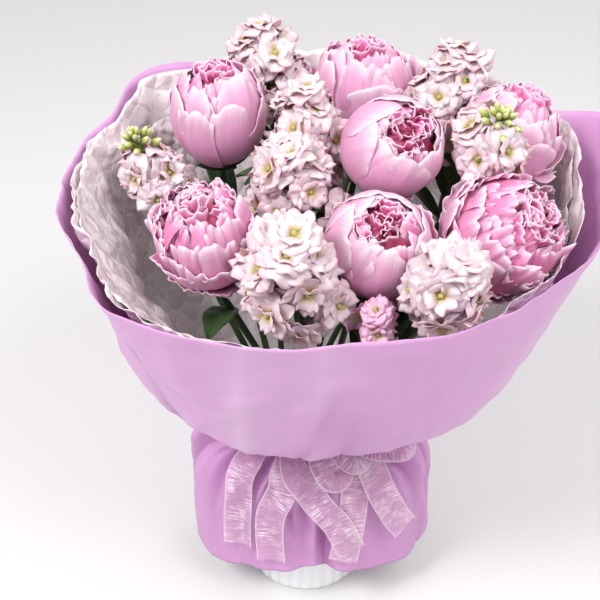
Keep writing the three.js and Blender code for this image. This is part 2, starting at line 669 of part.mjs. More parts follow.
// Each tail or loop runs over the skirt through points given as bearing, share of the way from waist
// to hem, and height off the paper.
const RIBBON_RUNS = [
  [[-99, 0.2, 7], [-112, 0.4, 12], [-128, 0.65, 11], [-133, 0.97, 9]],
  [[-94, 0.2, 7], [-97, 0.4, 12], [-103, 0.7, 11], [-104, 1, 9]],
  [[-89, 0.2, 7], [-84, 0.4, 15], [-74, 0.68, 14]],
  [[-84, 0.2, 7], [-62, 0.4, 18], [-64, 0.7, 20], [-74, 0.95, 12]],
  [[-79, 0.2, 7], [-50, 0.42, 13], [-36, 0.68, 12]],
  [[-104, 0.2, 7], [-118, 0.34, 18], [-128, 0.5, 18]],
  [[-74, 0.2, 7], [-42, 0.34, 18], [-30, 0.5, 18]],
];
const BAND = { low: 1, high: 7, thick: 1.2 }; // heights above the middle of the waist
const KNOT = { width: 29.6, depth: 12.8, height: 12.8, sides: [8, 5], right: 1, up: 3, sunk: 1.4 };

// A run of ribbon, gathered at its start and full width by the `spread` share of its length.
function ribbonRun(stations) {
  const course = new THREE.CatmullRomCurve3(stations.map((row) => vec(...row)), false, "centripetal");
  const at = (share) => {
    const { x, y, z } = course.getPoint(THREE.MathUtils.clamp(share, 0, 1));
    return skirtFace(x, y).addScaledVector(skirtNormal(x, y), z);
  };
  const rings = sharesOf(RIBBON.steps).map((share) => {
    const row = course.getPoint(share);
    const along = at(share + RIBBON.slope).sub(at(share - RIBBON.slope)).normalize();
    const side = along.clone().cross(skirtNormal(row.x, row.y)).normalize();
    const depth = along.clone().cross(side).normalize().multiplyScalar(RIBBON.thick / 2);
    const half = (RIBBON.width / 2) * lerp(RIBBON.gather, 1, Math.min(1, share / RIBBON.spread));
    const corner = (sign, lift) => at(share).addScaledVector(side, sign * half).addScaledVector(depth, lift);
    return [corner(1, 1), corner(-1, 1), corner(-1, -1), corner(1, -1)];
  });
  return ringSolid(rings, "caps");
}

function ribbonSolid() {
  const inner = LAYER.skirt + 2 * SEAT;
  const outer = inner + BAND.thick;
  const ring = (radius, z) =>
    Array.from({ length: PAPER_SIDES }, (_, i) => {
      const turn = (2 * Math.PI * i) / PAPER_SIDES;
      return vec(radius * Math.cos(turn), radius * Math.sin(turn), WAIST.z + z);
    });
  const { low, high } = BAND;
  const band = ringSolid([ring(outer, low), ring(outer, high), ring(inner, high), ring(inner, low)], "loop");
  const knot = new THREE.SphereGeometry(0.5, ...KNOT.sides).scale(KNOT.width, KNOT.depth, KNOT.height);
  knot.translate(KNOT.right, -(outer + KNOT.depth / 2 - KNOT.sunk), WAIST.z + KNOT.up);
  return fuse([band, solidOfGeometry(knot), ...RIBBON_RUNS.map(ribbonRun)]);
}

// ---- The bunch ----------------------------------------------------------------------------------

const bunch = new THREE.Group();
const add = (name, solid, material) => bunch.add(meshOf(name, solid, material));

add("vase", vaseSolid(), GLAZE);
add("stem_tie", tieSolid(), TWINE);

PEONIES.forEach((bloom, i) => {
  const place = placeOf(bloom);
  const leaves = LEAVES.filter((row) => row.stem === i + 1);
  add(`peony_${i + 1}_bloom`, peonySolid(bloom, place), PINK);
  add(`peony_${i + 1}_stem`, peonyStemSolid(bloom, place, leaves), GREEN);
});

STOCKS.forEach((spike, i) => {
  const place = placeOf(spike);
  const end = vec(0, 0, -spike.length / 2 - SEAT).applyMatrix4(place);
  const { solid } = stemSolid(end, vec(0, 0, 1).transformDirection(place));
  add(`stock_${i + 1}_florets`, stockSolid(spike, place), BLUSH);
  add(`stock_${i + 1}_stem`, solid, GREEN);
  if (spike.buds) add(`stock_${i + 1}_buds`, budSolid(spike, place), BUD);
});

add("tissue_wrap", wrapSolid("tissue"), TISSUE);
add("lilac_wrap", wrapSolid("lilac"), LILAC);
add("lilac_skirt", skirtSolid(), LILAC);
add("organza_ribbon", ribbonSolid(), ORGANZA);

export default bunch;
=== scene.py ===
"""The looks of a wrapped bunch of peonies and stocks in a fluted vase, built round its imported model."""
from collections import namedtuple

import bpy
import numpy as np
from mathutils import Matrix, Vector
from numpy import clip, cos, exp, maximum, minimum, pi, radians, sin


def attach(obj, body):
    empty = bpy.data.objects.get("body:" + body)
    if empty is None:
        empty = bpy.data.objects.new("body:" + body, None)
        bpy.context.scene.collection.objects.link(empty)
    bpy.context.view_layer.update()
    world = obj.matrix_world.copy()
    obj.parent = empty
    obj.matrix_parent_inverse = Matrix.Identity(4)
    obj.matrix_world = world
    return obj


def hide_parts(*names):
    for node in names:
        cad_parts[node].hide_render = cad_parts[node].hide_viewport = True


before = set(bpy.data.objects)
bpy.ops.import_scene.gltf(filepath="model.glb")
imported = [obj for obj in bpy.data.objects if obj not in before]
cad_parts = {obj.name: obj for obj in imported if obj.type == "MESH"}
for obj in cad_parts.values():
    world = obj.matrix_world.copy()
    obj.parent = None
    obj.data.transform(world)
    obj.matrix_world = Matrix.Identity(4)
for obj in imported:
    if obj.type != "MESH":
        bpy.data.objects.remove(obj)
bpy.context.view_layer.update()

MM = 0.001
BODY = "root"
TAU = 2 * pi
GOLDEN = 137.508

# ---- Driving dimensions, in millimetres and degrees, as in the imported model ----

SEAT = 0.3
VASE = {"foot": 66, "rim": 68.5, "height": 150, "wall": 5, "floor": 7, "flutes": 32, "flute": 1.8}
WAIST = {"z": 208, "stems": 36.8, "half": 8}
PAPER = 1.1
SPREAD = {"top": 510, "waist": 0.08, "foot": -0.2, "twist": 0.13}
STEM_RADIUS = 2.7
STEM_STATIONS = [60, 120, 175, 215, 260, 330, 400]
NECK = 22

# Peonies: centre of the bloom, its radius, its height as a share of its width, the way it faces, its
# habit, and petals that stand loose of it: bearing round it, reach, half width and stand-off.
Peony = namedtuple("Peony", "at radius tall facing habit loose")
PEONIES = [
    Peony((-79, 79, 506), 44, 1.15, (-0.02, -0.04, 1), "globe", [(-128, 112, 36, 3), (160, 112, 30, 5)]),
    Peony((-79, -81, 487), 41, 1.15, (-0.1, -0.25, 0.95), "ruffled",
          [(-95, 62, 32, 5), (-50, 70, 28, 6), (150, 132, 30, 7), (100, 140, 34, 3), (-135, 66, 30, 5)]),
    Peony((51, 143, 499), 49, 1, (0.1, 0.1, 0.98), "shells",
          [(125, 128, 34, 5), (10, 112, 34, 9), (-30, 104, 30, 7)]),
    Peony((67, -9, 525), 44, 1, (0.34, -0.6, 0.73), "cup", [(-60, 80, 34, 2)]),
    Peony((51, -94, 490), 43.5, 1.04, (0.14, -0.45, 0.88), "cup",
          [(12, 112, 46, 7), (-120, 50, 30, 8), (-70, 52, 34, 9)]),
    Peony((151, -71, 481), 50, 1, (0.5, -0.35, 0.79), "pompon",
          [(165, 110, 34, 5), (140, 92, 30, 4), (-80, 62, 30, 4)]),
    Peony((172, 40, 508), 45, 1, (0.45, 0.1, 0.89), "shells",
          [(-55, 84, 30, 22), (-20, 76, 28, 24), (60, 92, 30, 12)]),
]

# Stocks: centre of the spike, its radius and length, the way it points, and what marks it out: green
# buds at its tip, or a mauve colour.
Stock = namedtuple("Stock", "at radius length facing mark", defaults=("",))
STOCKS = [
    Stock((-38, 146, 514), 42, 66, (-0.1, 0.15, 0.98)),
    Stock((-137, 36, 478), 32, 58, (-0.35, 0.05, 0.93), "buds"),
    Stock((0, 36, 516), 37, 62, (0.05, 0, 1)),
    Stock((-10, -21, 492), 45, 62, (-0.05, -0.2, 0.97)),
    Stock((-13, -126, 486), 45, 68, (-0.05, -0.4, 0.92)),
    Stock((126, 108, 507), 40, 68, (0.2, 0.15, 0.97)),
    Stock((142, -20, 535), 34, 56, (0.2, -0.3, 0.92), "buds"),
    Stock((97, -149, 495), 34, 62, (0.2, -0.3, 0.93)),
    Stock((49, -148, 460), 22, 44, (0.1, -0.25, 0.96), "mauve"),
]

# Leaves: the peony stem that bears each, the height at which it leaves, its bearing and its length.
LEAVES = [(2, 392, -100, 78), (3, 404, 96, 74), (7, 405, 60, 72), (1, 400, 110, 70), (1, 392, -100, 72),
          (5, 378, -84, 74)]
LEAF_WIDTH = 26
STOCK_LEAVES = {"count": 5, "start": 20, "step": 11, "length": 58, "width": 19, "scatter": 85}

# Rim of the wrap: bearing, reach of the lilac sheet at RIM_LEVEL, its height, how far inside it the
# tissue stands, and the tissue's height.
RIM = np.array([
    (-180, 203, 484, 17, 490),
    (-152, 199, 490, 24, 489),
    (-122, 224, 500, 18, 494),
    (-90, 208, 495, 7, 486),
    (-60, 220, 496, 7, 486),
    (-30, 234, 500, 14, 490),
    (-8, 250, 502, 26, 494),
    (10, 272, 516, 35, 505),
    (32, 250, 486, 8, 507),
    (60, 233, 470, 6, 509),
    (90, 225, 468, 6, 509),
    (128, 240, 496, 14, 502),
    (152, 206, 488, 12, 494),
], float)
RIM_REACH, LILAC_TOP, TISSUE_INSET, TISSUE_TOP = 1, 2, 3, 4
RIM_LEVEL = 500
TISSUE_ROOM = 4
FRONT_LEFT = -145
BELLY = {"z": 312, "left": 156, "front": 141, "right": 184, "back": 152}

# Skirt below the waist: half profiles (reach beyond the waist, height) at its sides and its front.
SKIRT_SIDE = [(0, 205), (34, 202), (62, 190), (77, 163), (82, 110), (85, 52)]
SKIRT_FRONT = [(0, 205), (17, 198), (31, 180), (38.5, 152), (43, 112), (47, 74)]
SKIRT_PLEATS = 9
SKIRT_PLEAT = 3
SKIRT_LEAN = 7

RIBBON_WIDTH = 29
RIBBON_THICK = 0.9

# Thickness of the real sheets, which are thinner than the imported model's.
THICK = {"petal": 0.5, "floret": 0.35, "leaf": 0.7, "lilac": 0.45, "glassine": 0.25, "organza": 0.2}


def draws(seed):
    """A seeded source of numbers drawn evenly between two bounds."""
    return np.random.RandomState(seed).uniform


# ---- Points ----

def unit(vectors):
    return vectors / maximum(np.linalg.norm(vectors, axis=-1, keepdims=True), 1e-9)


def step(value, low, high):
    """Rises smoothly from 0 at low to 1 at high."""
    t = clip((value - low) / (high - low), 0, 1)
    return t * t * (3 - 2 * t)


def hump(value, centre, width):
    """A soft hump, 1 high at its centre."""
    return exp(-(((value - centre) / width) ** 2))


def zigzag(value):
    """A wave with straight flanks, from 1 down to 0 and back over each whole number."""
    return abs(2 * (value % 1) - 1)


def half_turn(angle):
    """An angle in degrees brought within half a turn of zero."""
    return (angle + 180) % 360 - 180


def patch(across, along):
    """Places on a sheet: -1 to 1 across it as a column, and 0 to 1 along it as a row."""
    return np.linspace(-1, 1, across)[:, None], np.linspace(0, 1, along)[None, :]


def circle(count):
    """Angles once round, as a column."""
    return np.linspace(0, TAU, count, endpoint=False)[:, None]


def spun(reach, turn, height):
    """Points at a reach and a height, turned about the upright axis."""
    return np.stack([reach * cos(turn), reach * sin(turn), height + 0 * turn], -1)


def turned(out, side, up, angle):
    """Points given outwards, sideways and up, turned about the upright axis."""
    c, s = cos(angle), sin(angle)
    return np.stack([out * c - side * s, out * s + side * c, up], -1)


def on_sphere(phi, theta, swing):
    """Points of a unit sphere: phi up from its base, theta to the side, then swung about its axis."""
    return turned(sin(phi) * cos(theta), sin(theta), -cos(phi) * cos(theta), swing)


def axis_of(facing):
    return np.array(Vector(facing).normalized())


def frame_at(at, facing):
    """A rotation matrix whose third column is the facing, and the place, for moving local points."""
    turn = Vector((0, 0, 1)).rotation_difference(Vector(facing).normalized()).to_matrix()
    return np.array(turn), np.array(at, float)


def placed(grid, place):
    turn, at = place
    return grid @ turn.T + at


def course(stations, share):
    """Points at shares 0 to 1 along a centripetal curve through stations[..., k, :]."""
    stations = np.asarray(stations, float)
    before = 2 * stations[..., :1, :] - stations[..., 1:2, :]
    after = 2 * stations[..., -1:, :] - stations[..., -2:-1, :]
    p = np.concatenate([before, stations, after], axis=-2)
    spans = stations.shape[-2] - 1
    along = clip(share, 0, 1) * spans
    k = minimum(along.astype(int), spans - 1)
    w = (along - k)[:, None]
    a, b, c, d = (p[..., k + j, :] for j in range(4))
    gaps = [np.sqrt(np.linalg.norm(q - r, axis=-1, keepdims=True)) for q, r in ((b, a), (c, b), (d, c))]
    ab, bc, cd = (maximum(gap, 1e-6) for gap in gaps)
    leave = ((b - a) / ab - (c - a) / (ab + bc) + (c - b) / bc) * bc
    arrive = ((c - b) / bc - (d - b) / (bc + cd) + (d - c) / cd) * bc
    return ((2 * w**3 - 3 * w**2 + 1) * b + (w**3 - 2 * w**2 + w) * leave
            + (3 * w**2 - 2 * w**3) * c + (w**3 - w**2) * arrive)


def tube(line, radius, sides=10):
    """A tube's grid round a line of points; radius may vary along it."""
    line = np.asarray(line, float)
    along = unit(np.gradient(line, axis=0))
    side = unit(np.cross(along, (0.31, 0.95, 0.05)))
    up = np.cross(side, along)
    turn = circle(sides)[..., None]
    radius = np.broadcast_to(np.asarray(radius, float), len(line))
    return line + (cos(turn) * side + sin(turn) * up) * radius[None, :, None]


# ---- Meshes ----

def in_scene(name, data):
    """A new object in the scene that holds the data."""
    made = bpy.data.objects.new(name, data)
    bpy.context.scene.collection.objects.link(made)
    return made


class Sheets:
    """Grids of points gathered into one mesh, each point with a few named numbers for its material."""

    def __init__(self):
        self.points = []
        self.faces = []
        self.numbers = {}
        self.count = 0

    def add(self, grid, closed=False, **numbers):
        """A grid[i, j] of points. Closed joins its last row i to the first."""
        rows, columns = grid.shape[:2]
        index = np.arange(rows * columns).reshape(rows, columns) + self.count
        if closed:
            index = np.concatenate([index, index[:1]])
        quads = np.stack([index[:-1, :-1], index[1:, :-1], index[1:, 1:], index[:-1, 1:]], -1)
        self.points.append(grid.reshape(-1, 3))
        self.faces.append(quads.reshape(-1, 4))
        for name, value in numbers.items():
            spread = np.broadcast_to(np.asarray(value, float), (rows, columns)).ravel()
            self.numbers.setdefault(name, []).append(spread)
        self.count += rows * columns
        return self

    def build(self, name, thick=0.0):
        """The mesh as an object, given a thickness in millimetres if it is a sheet."""
        points = np.concatenate(self.points) * MM
        faces = np.concatenate(self.faces)
        mesh = bpy.data.meshes.new(name)
        mesh.vertices.add(len(points))
        mesh.vertices.foreach_set("co", points.astype(np.float32).ravel())
        mesh.loops.add(faces.size)
        mesh.loops.foreach_set("vertex_index", faces.astype(np.int32).ravel())
        mesh.polygons.add(len(faces))
        mesh.polygons.foreach_set("loop_start", np.arange(0, faces.size, 4, dtype=np.int32))
        mesh.update(calc_edges=True)
        mesh.shade_smooth()
        for key, values in self.numbers.items():
            layer = mesh.attributes.new(key, "FLOAT", "POINT")
            layer.data.foreach_set("value", np.concatenate(values).astype(np.float32))
        piece = in_scene(name, mesh)
        if thick:
            solidify = piece.modifiers.new("thickness", "SOLIDIFY")
            solidify.thickness = thick * MM
            solidify.offset = 0
        return piece


def dress(piece, material, slot, *nodes):
    """Gives a piece its material, lets it ride, and hides the CAD nodes it stands for. The slot is not
    used.
    """
    piece.data.materials.append(material)
    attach(piece, BODY)
    if nodes:
        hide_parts(*nodes)


# ---- Materials ----

BLACK, WHITE = (0, 0, 0), (255, 255, 255)


def srgb(red, green, blue):
    """A colour given as screen values of 0 to 255, in linear light, with alpha."""
    def linear(c):
        c /= 255
        return c / 12.92 if c <= 0.04045 else ((c + 0.055) / 1.055) ** 2.4
    return (linear(red), linear(green), linear(blue), 1)


class Paint:
    """A material and short ways to wire its nodes. Colours are given as screen values."""

    def __init__(self, name, roughness, **sockets):
        self.material = bpy.data.materials.new(name)
        self.material.use_nodes = True
        self.nodes = self.material.node_tree.nodes
        self.links = self.material.node_tree.links
        self.shader = self.nodes["Principled BSDF"]
        for socket, value in {"Roughness": roughness, **sockets}.items():
            self.put(self.shader.inputs[socket.replace("_", " ")], value)

    def put(self, socket, value):
        """Feeds an input from another node's output, or sets it to a value."""
        if isinstance(value, bpy.types.NodeSocket):
            self.links.new(value, socket)
        else:
            socket.default_value = srgb(*value) if socket.type == "RGBA" else value

    def node(self, kind, inputs=(), **values):
        """A node with its properties set, and its inputs, by name or number, fed."""
        made = self.nodes.new(kind)
        for key, value in values.items():
            setattr(made, key, value)
        for socket, value in dict(inputs).items():
            self.put(made.inputs[socket], value)
        return made

    def number(self, name):
        """A number that the mesh holds for each point."""
        return self.node("ShaderNodeAttribute", attribute_name=name).outputs["Fac"]

    def math(self, operation, *values):
        return self.node("ShaderNodeMath", enumerate(values), operation=operation).outputs["Value"]

    def times(self, value, factor):
        return self.math("MULTIPLY", value, factor)

    def ramp(self, factor, *stops):
        """A colour ramp through (place, colour) stops."""
        made = self.node("ShaderNodeValToRGB", {"Fac": factor})
        elements = made.color_ramp.elements
        while len(elements) < len(stops):
            elements.new(0.5)
        for element, (place, colour) in zip(elements, stops):
            element.position = place
            element.color = srgb(*colour)
        return made.outputs["Color"]

    def mix(self, factor, first, second):
        inputs = {"Factor": factor, 6: first, 7: second}
        return self.node("ShaderNodeMix", inputs, data_type="RGBA").outputs[2]

    def noise(self, scale, detail=3, vector=None, stretch=(1, 1, 1), roughness=0.5):
        """Noise over the object's own space, or over a vector."""
        source = vector or self.node("ShaderNodeTexCoord").outputs["Object"]
        mapped = self.node("ShaderNodeMapping", {"Vector": source, "Scale": stretch}).outputs["Vector"]
        inputs = {"Vector": mapped, "Scale": scale, "Detail": detail, "Roughness": roughness}
        return self.node("ShaderNodeTexNoise", inputs).outputs["Fac"]

    def cells(self, scale):
        """Distance from the edges of uneven cells that fill the object's own space."""
        inputs = {"Vector": self.node("ShaderNodeTexCoord").outputs["Object"], "Scale": scale}
        return self.node("ShaderNodeTexVoronoi", inputs, feature="DISTANCE_TO_EDGE").outputs["Distance"]

    def along(self, *names):
        """A vector of up to three of the mesh's numbers."""
        inputs = enumerate(self.number(name) for name in names)
        return self.node("ShaderNodeCombineXYZ", inputs).outputs["Vector"]

    def colour(self, value):
        self.put(self.shader.inputs["Base Color"], value)

    def bump(self, height, distance):
        """Raises the surface by a height of 0 to 1 times a distance in millimetres."""
        made = self.node("ShaderNodeBump", {"Height": height, "Distance": distance * MM})
        self.put(self.shader.inputs["Normal"], made.outputs["Normal"])

    def let_through(self, colour, share):
        """Lets a share of the light through the sheet, tinted."""
        through = self.node("ShaderNodeBsdfTranslucent", {"Color": colour}).outputs["BSDF"]
        inputs = {"Fac": share, 1: self.shader.outputs["BSDF"], 2: through}
        mixed = self.node("ShaderNodeMixShader", inputs).outputs["Shader"]
        self.put(self.nodes["Material Output"].inputs["Surface"], mixed)


def petal_paint():
    """Satin petals: pale at the rim, pink below, deepening to magenta and crimson in the heart."""
    p = Paint("petal_pink", 0.5, Subsurface_Weight=0.3, Subsurface_Scale=0.005, Sheen_Weight=0.2,
              Subsurface_Radius=(1.0, 0.4, 0.6))
    tone = p.number("tone")
    streaks = p.noise(1, 4, p.along("across", "tone", "draw"), (26, 1.6, 90))
    outer = p.ramp(tone, (0, (224, 112, 174)), (0.5, (231, 150, 197)), (0.86, (237, 178, 210)),
                   (1, (248, 226, 237)))
    inner = p.ramp(tone, (0, (150, 6, 50)), (0.62, (204, 22, 98)), (0.84, (230, 78, 152)),
                   (0.95, (246, 176, 214)), (1, (253, 232, 243)))
    petal = p.mix(p.number("depth"), outer, inner)
    veined = p.mix(p.times(streaks, 0.4), petal, (226, 124, 184))
    p.colour(p.mix(p.times(p.number("flush"), 0.8), veined, (208, 44, 118)))
    p.bump(streaks, 0.35)
    p.let_through((250, 110, 184), 0.1)
    return p.material


def floret_paint(name, pale, edge, centre):
    """Matt stock florets: yellow-green at the centre, painted shade in the throat round it, pale beyond,
    faintly tinted at the edge.
    """
    p = Paint(name, 0.6, Subsurface_Weight=0.25, Subsurface_Scale=0.004, Sheen_Weight=0.15)
    streaks = p.noise(1, 3, p.along("across", "tone", "draw"), (12, 1.5, 40))
    # The pinkish-brown band between the eye and the pale blade is painted shade in the floret's throat.
    body = p.ramp(p.number("tone"), (0, centre), (0.22, centre), (0.38, (222, 186, 170)), (0.6, pale),
                  (0.85, pale), (1, edge))
    p.colour(p.mix(p.times(streaks, 0.3), body, edge))
    p.bump(streaks, 0.25)
    p.let_through(edge, 0.1)
    return p.material


def green_paint(name, light, dark, roughness=0.5):
    """Stems, leaves and sepals with fine streaks along them."""
    p = Paint(name, roughness)
    patches = p.noise(60, 4, stretch=(1, 1, 0.25))
    p.colour(p.ramp(patches, (0.3, dark), (0.7, light)))
    p.bump(patches, 0.3)
    return p.material


def bud_paint():
    """Green buds, paler towards the tip, where a petal begins to show."""
    p = Paint("bud_green", 0.5, Subsurface_Weight=0.15, Subsurface_Scale=0.002)
    p.colour(p.ramp(p.number("tone"), (0, (104, 122, 50)), (0.6, (160, 172, 88)), (1, (232, 228, 190))))
    p.bump(p.noise(700, 2), 0.2)
    return p.material


def lilac_paint():
    """Smooth matt coated paper, with painted shade in its creases and a painted highlight on its ridges.
    """
    p = Paint("lilac_paper", 0.48, Sheen_Weight=0.1)
    base = p.mix(p.times(p.noise(9, 3), 0.35), (222, 168, 218), (210, 152, 206))
    # Painted highlight on the ridges, then painted shade in the creases and gathers, from numbers the
    # sheets carry.
    with_painted_highlight = p.mix(p.number("ridge"), base, (238, 206, 238))
    p.colour(p.mix(p.number("crease"), with_painted_highlight, (168, 104, 164)))
    p.bump(p.noise(900, 2), 0.05)
    p.let_through((244, 190, 230), 0.16)
    return p.material


def tissue_paint():
    """Thin glassine: cream grey with a pink cast, translucent, creased all over, with painted glints along
    its creases.
    """
    p = Paint("tissue_paper", 0.3, Coat_Weight=0.4, Coat_Roughness=0.12)
    creases = p.noise(75, 6, roughness=0.62)
    facet = p.cells(58)
    # Painted glints: thin white lines along the cell edges, where the creases would catch the light.
    folded = p.ramp(facet, (0, WHITE), (0.06, BLACK))
    sheet = p.ramp(creases, (0.35, (242, 226, 231)), (0.65, (250, 242, 245)))
    p.colour(p.mix(folded, sheet, WHITE))
    rough = p.math("ADD", creases, p.times(p.noise(260, 4), 0.25))
    p.bump(p.math("ADD", rough, p.times(facet, 3)), 1.6)
    p.let_through((255, 246, 248), 0.14)
    return p.material


def organza_paint():
    """Sheer woven ribbon: fine threads across and along it, painted glints on them in patches, and a close
    bright edge.
    """
    p = Paint("organza", 0.3, Sheen_Weight=0.4)
    edge = p.number("edge")
    # Painted glints: in patches the threads are painted white and made less sheer, as if catching the
    # light.
    glint_patches = p.ramp(p.noise(52, 4, roughness=0.65), (0.42, BLACK), (0.62, WHITE))
    weave = p.noise(1, 2, p.along("across", "along"), (1.0, 280, 1))
    threads = p.ramp(weave, (0.46, BLACK), (0.62, WHITE))
    glint = p.times(threads, p.math("MULTIPLY_ADD", glint_patches, 0.85, 0.12))
    p.colour(p.mix(p.math("MAXIMUM", glint, edge), (214, 164, 200), (255, 244, 252)))
    sheer = p.math("MULTIPLY_ADD", glint, 0.6, 0.32)
    p.put(p.shader.inputs["Alpha"], p.math("MAXIMUM", sheer, p.times(edge, 0.7)))
    p.bump(weave, 0.2)
    return p.material


def glaze_paint():
    """White gloss glaze over ribbed porcelain."""
    p = Paint("glazed_white", 0.16, Coat_Weight=0.5, Coat_Roughness=0.06)
    p.colour(p.mix(p.times(p.noise(14, 3), 0.5), (244, 246, 247), (232, 236, 238)))
    p.bump(p.noise(35, 2), 0.12)
    return p.material


def twine_paint():
    p = Paint("tie_twine", 0.85, Sheen_Weight=0.3)
    strands = p.noise(300, 4, stretch=(1, 1, 6))
    p.colour(p.ramp(strands, (0.3, (92, 104, 58)), (0.7, (160, 168, 110))))
    p.bump(strands, 0.5)
    return p.material


def floor_paint():
    p = Paint("floor_pale", 0.55)
    p.colour((220, 219, 220))
    return p.material


# ---- Peonies ----

# Rings of petals from the outside in: how many, the share of the bloom's radius they lie at, the
# angle from the base at which they root, the angle their rims reach, half width, ruffle and curl of
# the rim and how far it may stand off in millimetres, how deep in the heart's colour they are, and how
# far, in degrees, one side of a petal rises above its middle, so that it winds round the bloom.
Ring = namedtuple("Ring", "count share root reach width ruffle curl loose depth slant", defaults=(0,))
HABITS = {
    "globe": [
        Ring(4, 1.0, 8, 124, 60, 1.4, 1, 2.5, 0.0, 20),
        Ring(4, 0.985, 10, 136, 56, 1.8, 1, 2.5, 0.0, 18),
        Ring(5, 0.96, 16, 146, 46, 2.2, 0.5, 2.5, 0.0, 16),
        Ring(6, 0.93, 40, 154, 38, 2.6, 0, 2, 0.3, 8),
        Ring(6, 0.88, 60, 162, 30, 3.0, 0, 1.5, 0.9)],
    "ruffled": [
        Ring(5, 0.99, 8, 96, 50, 2.4, 3, 2.5, 0.0),
        Ring(7, 0.98, 14, 118, 38, 3.2, 2, 2.5, 0.0),
        Ring(8, 0.955, 35, 136, 32, 3.8, 1, 2.5, 0.2),
        Ring(9, 0.92, 55, 150, 27, 4.2, 0, 2, 0.45),
        Ring(8, 0.86, 80, 160, 26, 4.2, 0, 2, 0.7)],
    "shells": [
        Ring(4, 1.0, 8, 108, 60, 1.2, 2, 3, 0.0, 14),
        Ring(5, 0.975, 14, 128, 50, 1.6, 1, 3, 0.0, 12),
        Ring(6, 0.94, 25, 144, 42, 2.2, 1, 2.5, 0.05, 8),
        Ring(6, 0.9, 45, 156, 34, 3.0, 0, 1, 0.3)],
    "cup": [
        Ring(4, 1.0, 8, 146, 60, 0.9, 0.5, 0.5, 0.0),
        Ring(4, 0.97, 12, 150, 56, 1.3, 0.5, 0.6, 0.0),
        Ring(5, 0.94, 30, 153, 44, 2.0, 0.5, 1, 0.1),
        Ring(6, 0.9, 55, 156, 32, 3.0, 0, 1.5, 0.7)],
    "pompon": [
        Ring(6, 0.99, 8, 84, 46, 2.6, 3, 3, 0.0),
        Ring(8, 0.985, 22, 104, 38, 2.8, 3, 3, 0.15),
        Ring(9, 0.965, 45, 120, 32, 3.2, 2, 3, 0.35),
        Ring(10, 0.945, 60, 134, 30, 3.6, 1, 3, 0.35),
        Ring(10, 0.91, 70, 146, 28, 4.0, 0, 3, 0.6),
        Ring(9, 0.87, 80, 156, 28, 4.2, 0, 3, 0.55)],
}
# The mouth of each habit, as a share of the radius, the petals crowded in it, and their depth.
HEARTS = {"globe": (0.32, 9, 1.0), "ruffled": (0.45, 14, 0.5), "shells": (0.4, 12, 0.9),
          "cup": (0.46, 12, 1.0), "pompon": (0.5, 20, 0.7)}
RING_TURN = 37  # degrees from where one ring starts to where the next does
PETAL_LIFT = 2.0  # how far one side of a petal stands over its neighbour's
BROAD = 40  # half width from which a petal is one of the large outer ones
CORE_SHARE = 0.76  # radius of the crumpled mass within the petals


def bloom_place(bloom):
    """The place of a bloom, stretched along its own axis."""
    turn, at = frame_at(bloom.at, bloom.facing)
    return turn * np.array([1, 1, bloom.tall]), at


def petal_grid(draw, radius, ring, bearing):
    """One cupped petal, its sides over and under its neighbours', its rim waved and notched."""
    broad = ring.width >= BROAD
    free, rounding = (0.5, 26) if broad else (1, 11)
    u, v = patch(41, 25 if broad else 17)
    phase = draw(0, TAU, 6)
    waves = sin(3.6 * u + phase[0]) + 0.6 * sin(7.1 * u + phase[1])
    frill = sin(13 * u + phase[2]) + 0.7 * sin(21 * u + phase[3])
    notch = 6 * hump(u, draw(-0.5, 0.5), 0.1)
    teeth = sin(31 * u + phase[4]) + sin(43 * u + phase[5])
    uneven = free * (draw(-14, 8) + draw(-13, 13) * u)
    frilled = ring.ruffle * free * (0.28 * frill + 0.1 * teeth)
    rim = (ring.reach + uneven + ring.slant * u - rounding * abs(u) ** 2.8 - notch + 1.6 * waves
           + frilled)
    phi = radians(ring.root + v * (rim - ring.root))
    outline = 0.34 + 0.66 * sin(pi / 2 * minimum(1, v / 0.62)) - 0.1 * v**3
    theta = radians(ring.width) * outline * u
    swing = radians(bearing + free * draw(-12, 12) * v)
    overlap = PETAL_LIFT * (u * minimum(1, 2 * v) - 1)
    cupped = 3 * u**2 * minimum(1, 1.5 * v) + 0.7 * hump(u, 0, 0.16) * v
    twist = (0 if broad else draw(-3, 3)) * u * v**1.5
    ruffle = (0.6 * waves * v**2.5 + 0.5 * frill * v**5 + 0.12 * teeth * v**8
              + 0.25 * sin(6 * v + phase[4] + 2 * u) * v)
    dents = 0.5 * sin(10 * u + phase[5]) * v * (1 - v) + 0.9 * sin(2.4 * u + phase[3]) * v
    curl = step(v, 0.8, 1) * (1 + 0.6 * sin(2.2 * u + phase[5]))
    stand_off = ring.loose * draw(-0.3, 1) * v**2
    radial = (radius * ring.share + overlap - cupped + twist + ring.ruffle * ruffle + dents
              + ring.curl * curl + stand_off)
    return on_sphere(phi, theta, swing) * radial[..., None], u, v


def heart_petal(draw, radius, mouth):
    """A small petal rolled and crumpled upright in the mouth of a bloom."""
    u, v = patch(17, 15)
    phase = draw(0, TAU, 4)
    angle, face = phase[0], phase[0] + draw(-0.9, 0.9)
    reach = radius * mouth * np.sqrt(draw(0, 1))
    tip = np.sqrt(radius**2 - reach**2) * draw(0.88, 1.0)
    foot = 0.3 * radius
    roll = draw(0.6, 1.7)
    half = radius * draw(0.22, 0.36) * (0.55 + 0.45 * v)
    ruffle = 0.035 * radius * v**2 * (sin(6 * u + phase[1]) + 0.8 * sin(12 * u + phase[2]))
    across = half * sin(roll * u) / roll
    inward = half * (cos(roll * u) - 1) / roll + ruffle + 0.12 * radius * sin(phase[3]) * v**2
    rise = foot + (tip - foot) * v * (1 - 0.16 * u**2 - 0.05 * sin(5 * u + phase[3]))
    return turned(inward, across, rise, face) + spun(reach, angle, 0), u, v


def heart_core(radius):
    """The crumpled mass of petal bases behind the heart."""
    turn = circle(48)
    polar = np.linspace(0.02, pi - 0.02, 24)[None, :]
    lumps = 0.05 * sin(9 * turn + 3 * polar) + 0.04 * sin(7 * polar - 5 * turn)
    r = CORE_SHARE * radius * (1 + lumps)
    return spun(sin(polar) * r, turn, cos(polar) * r)


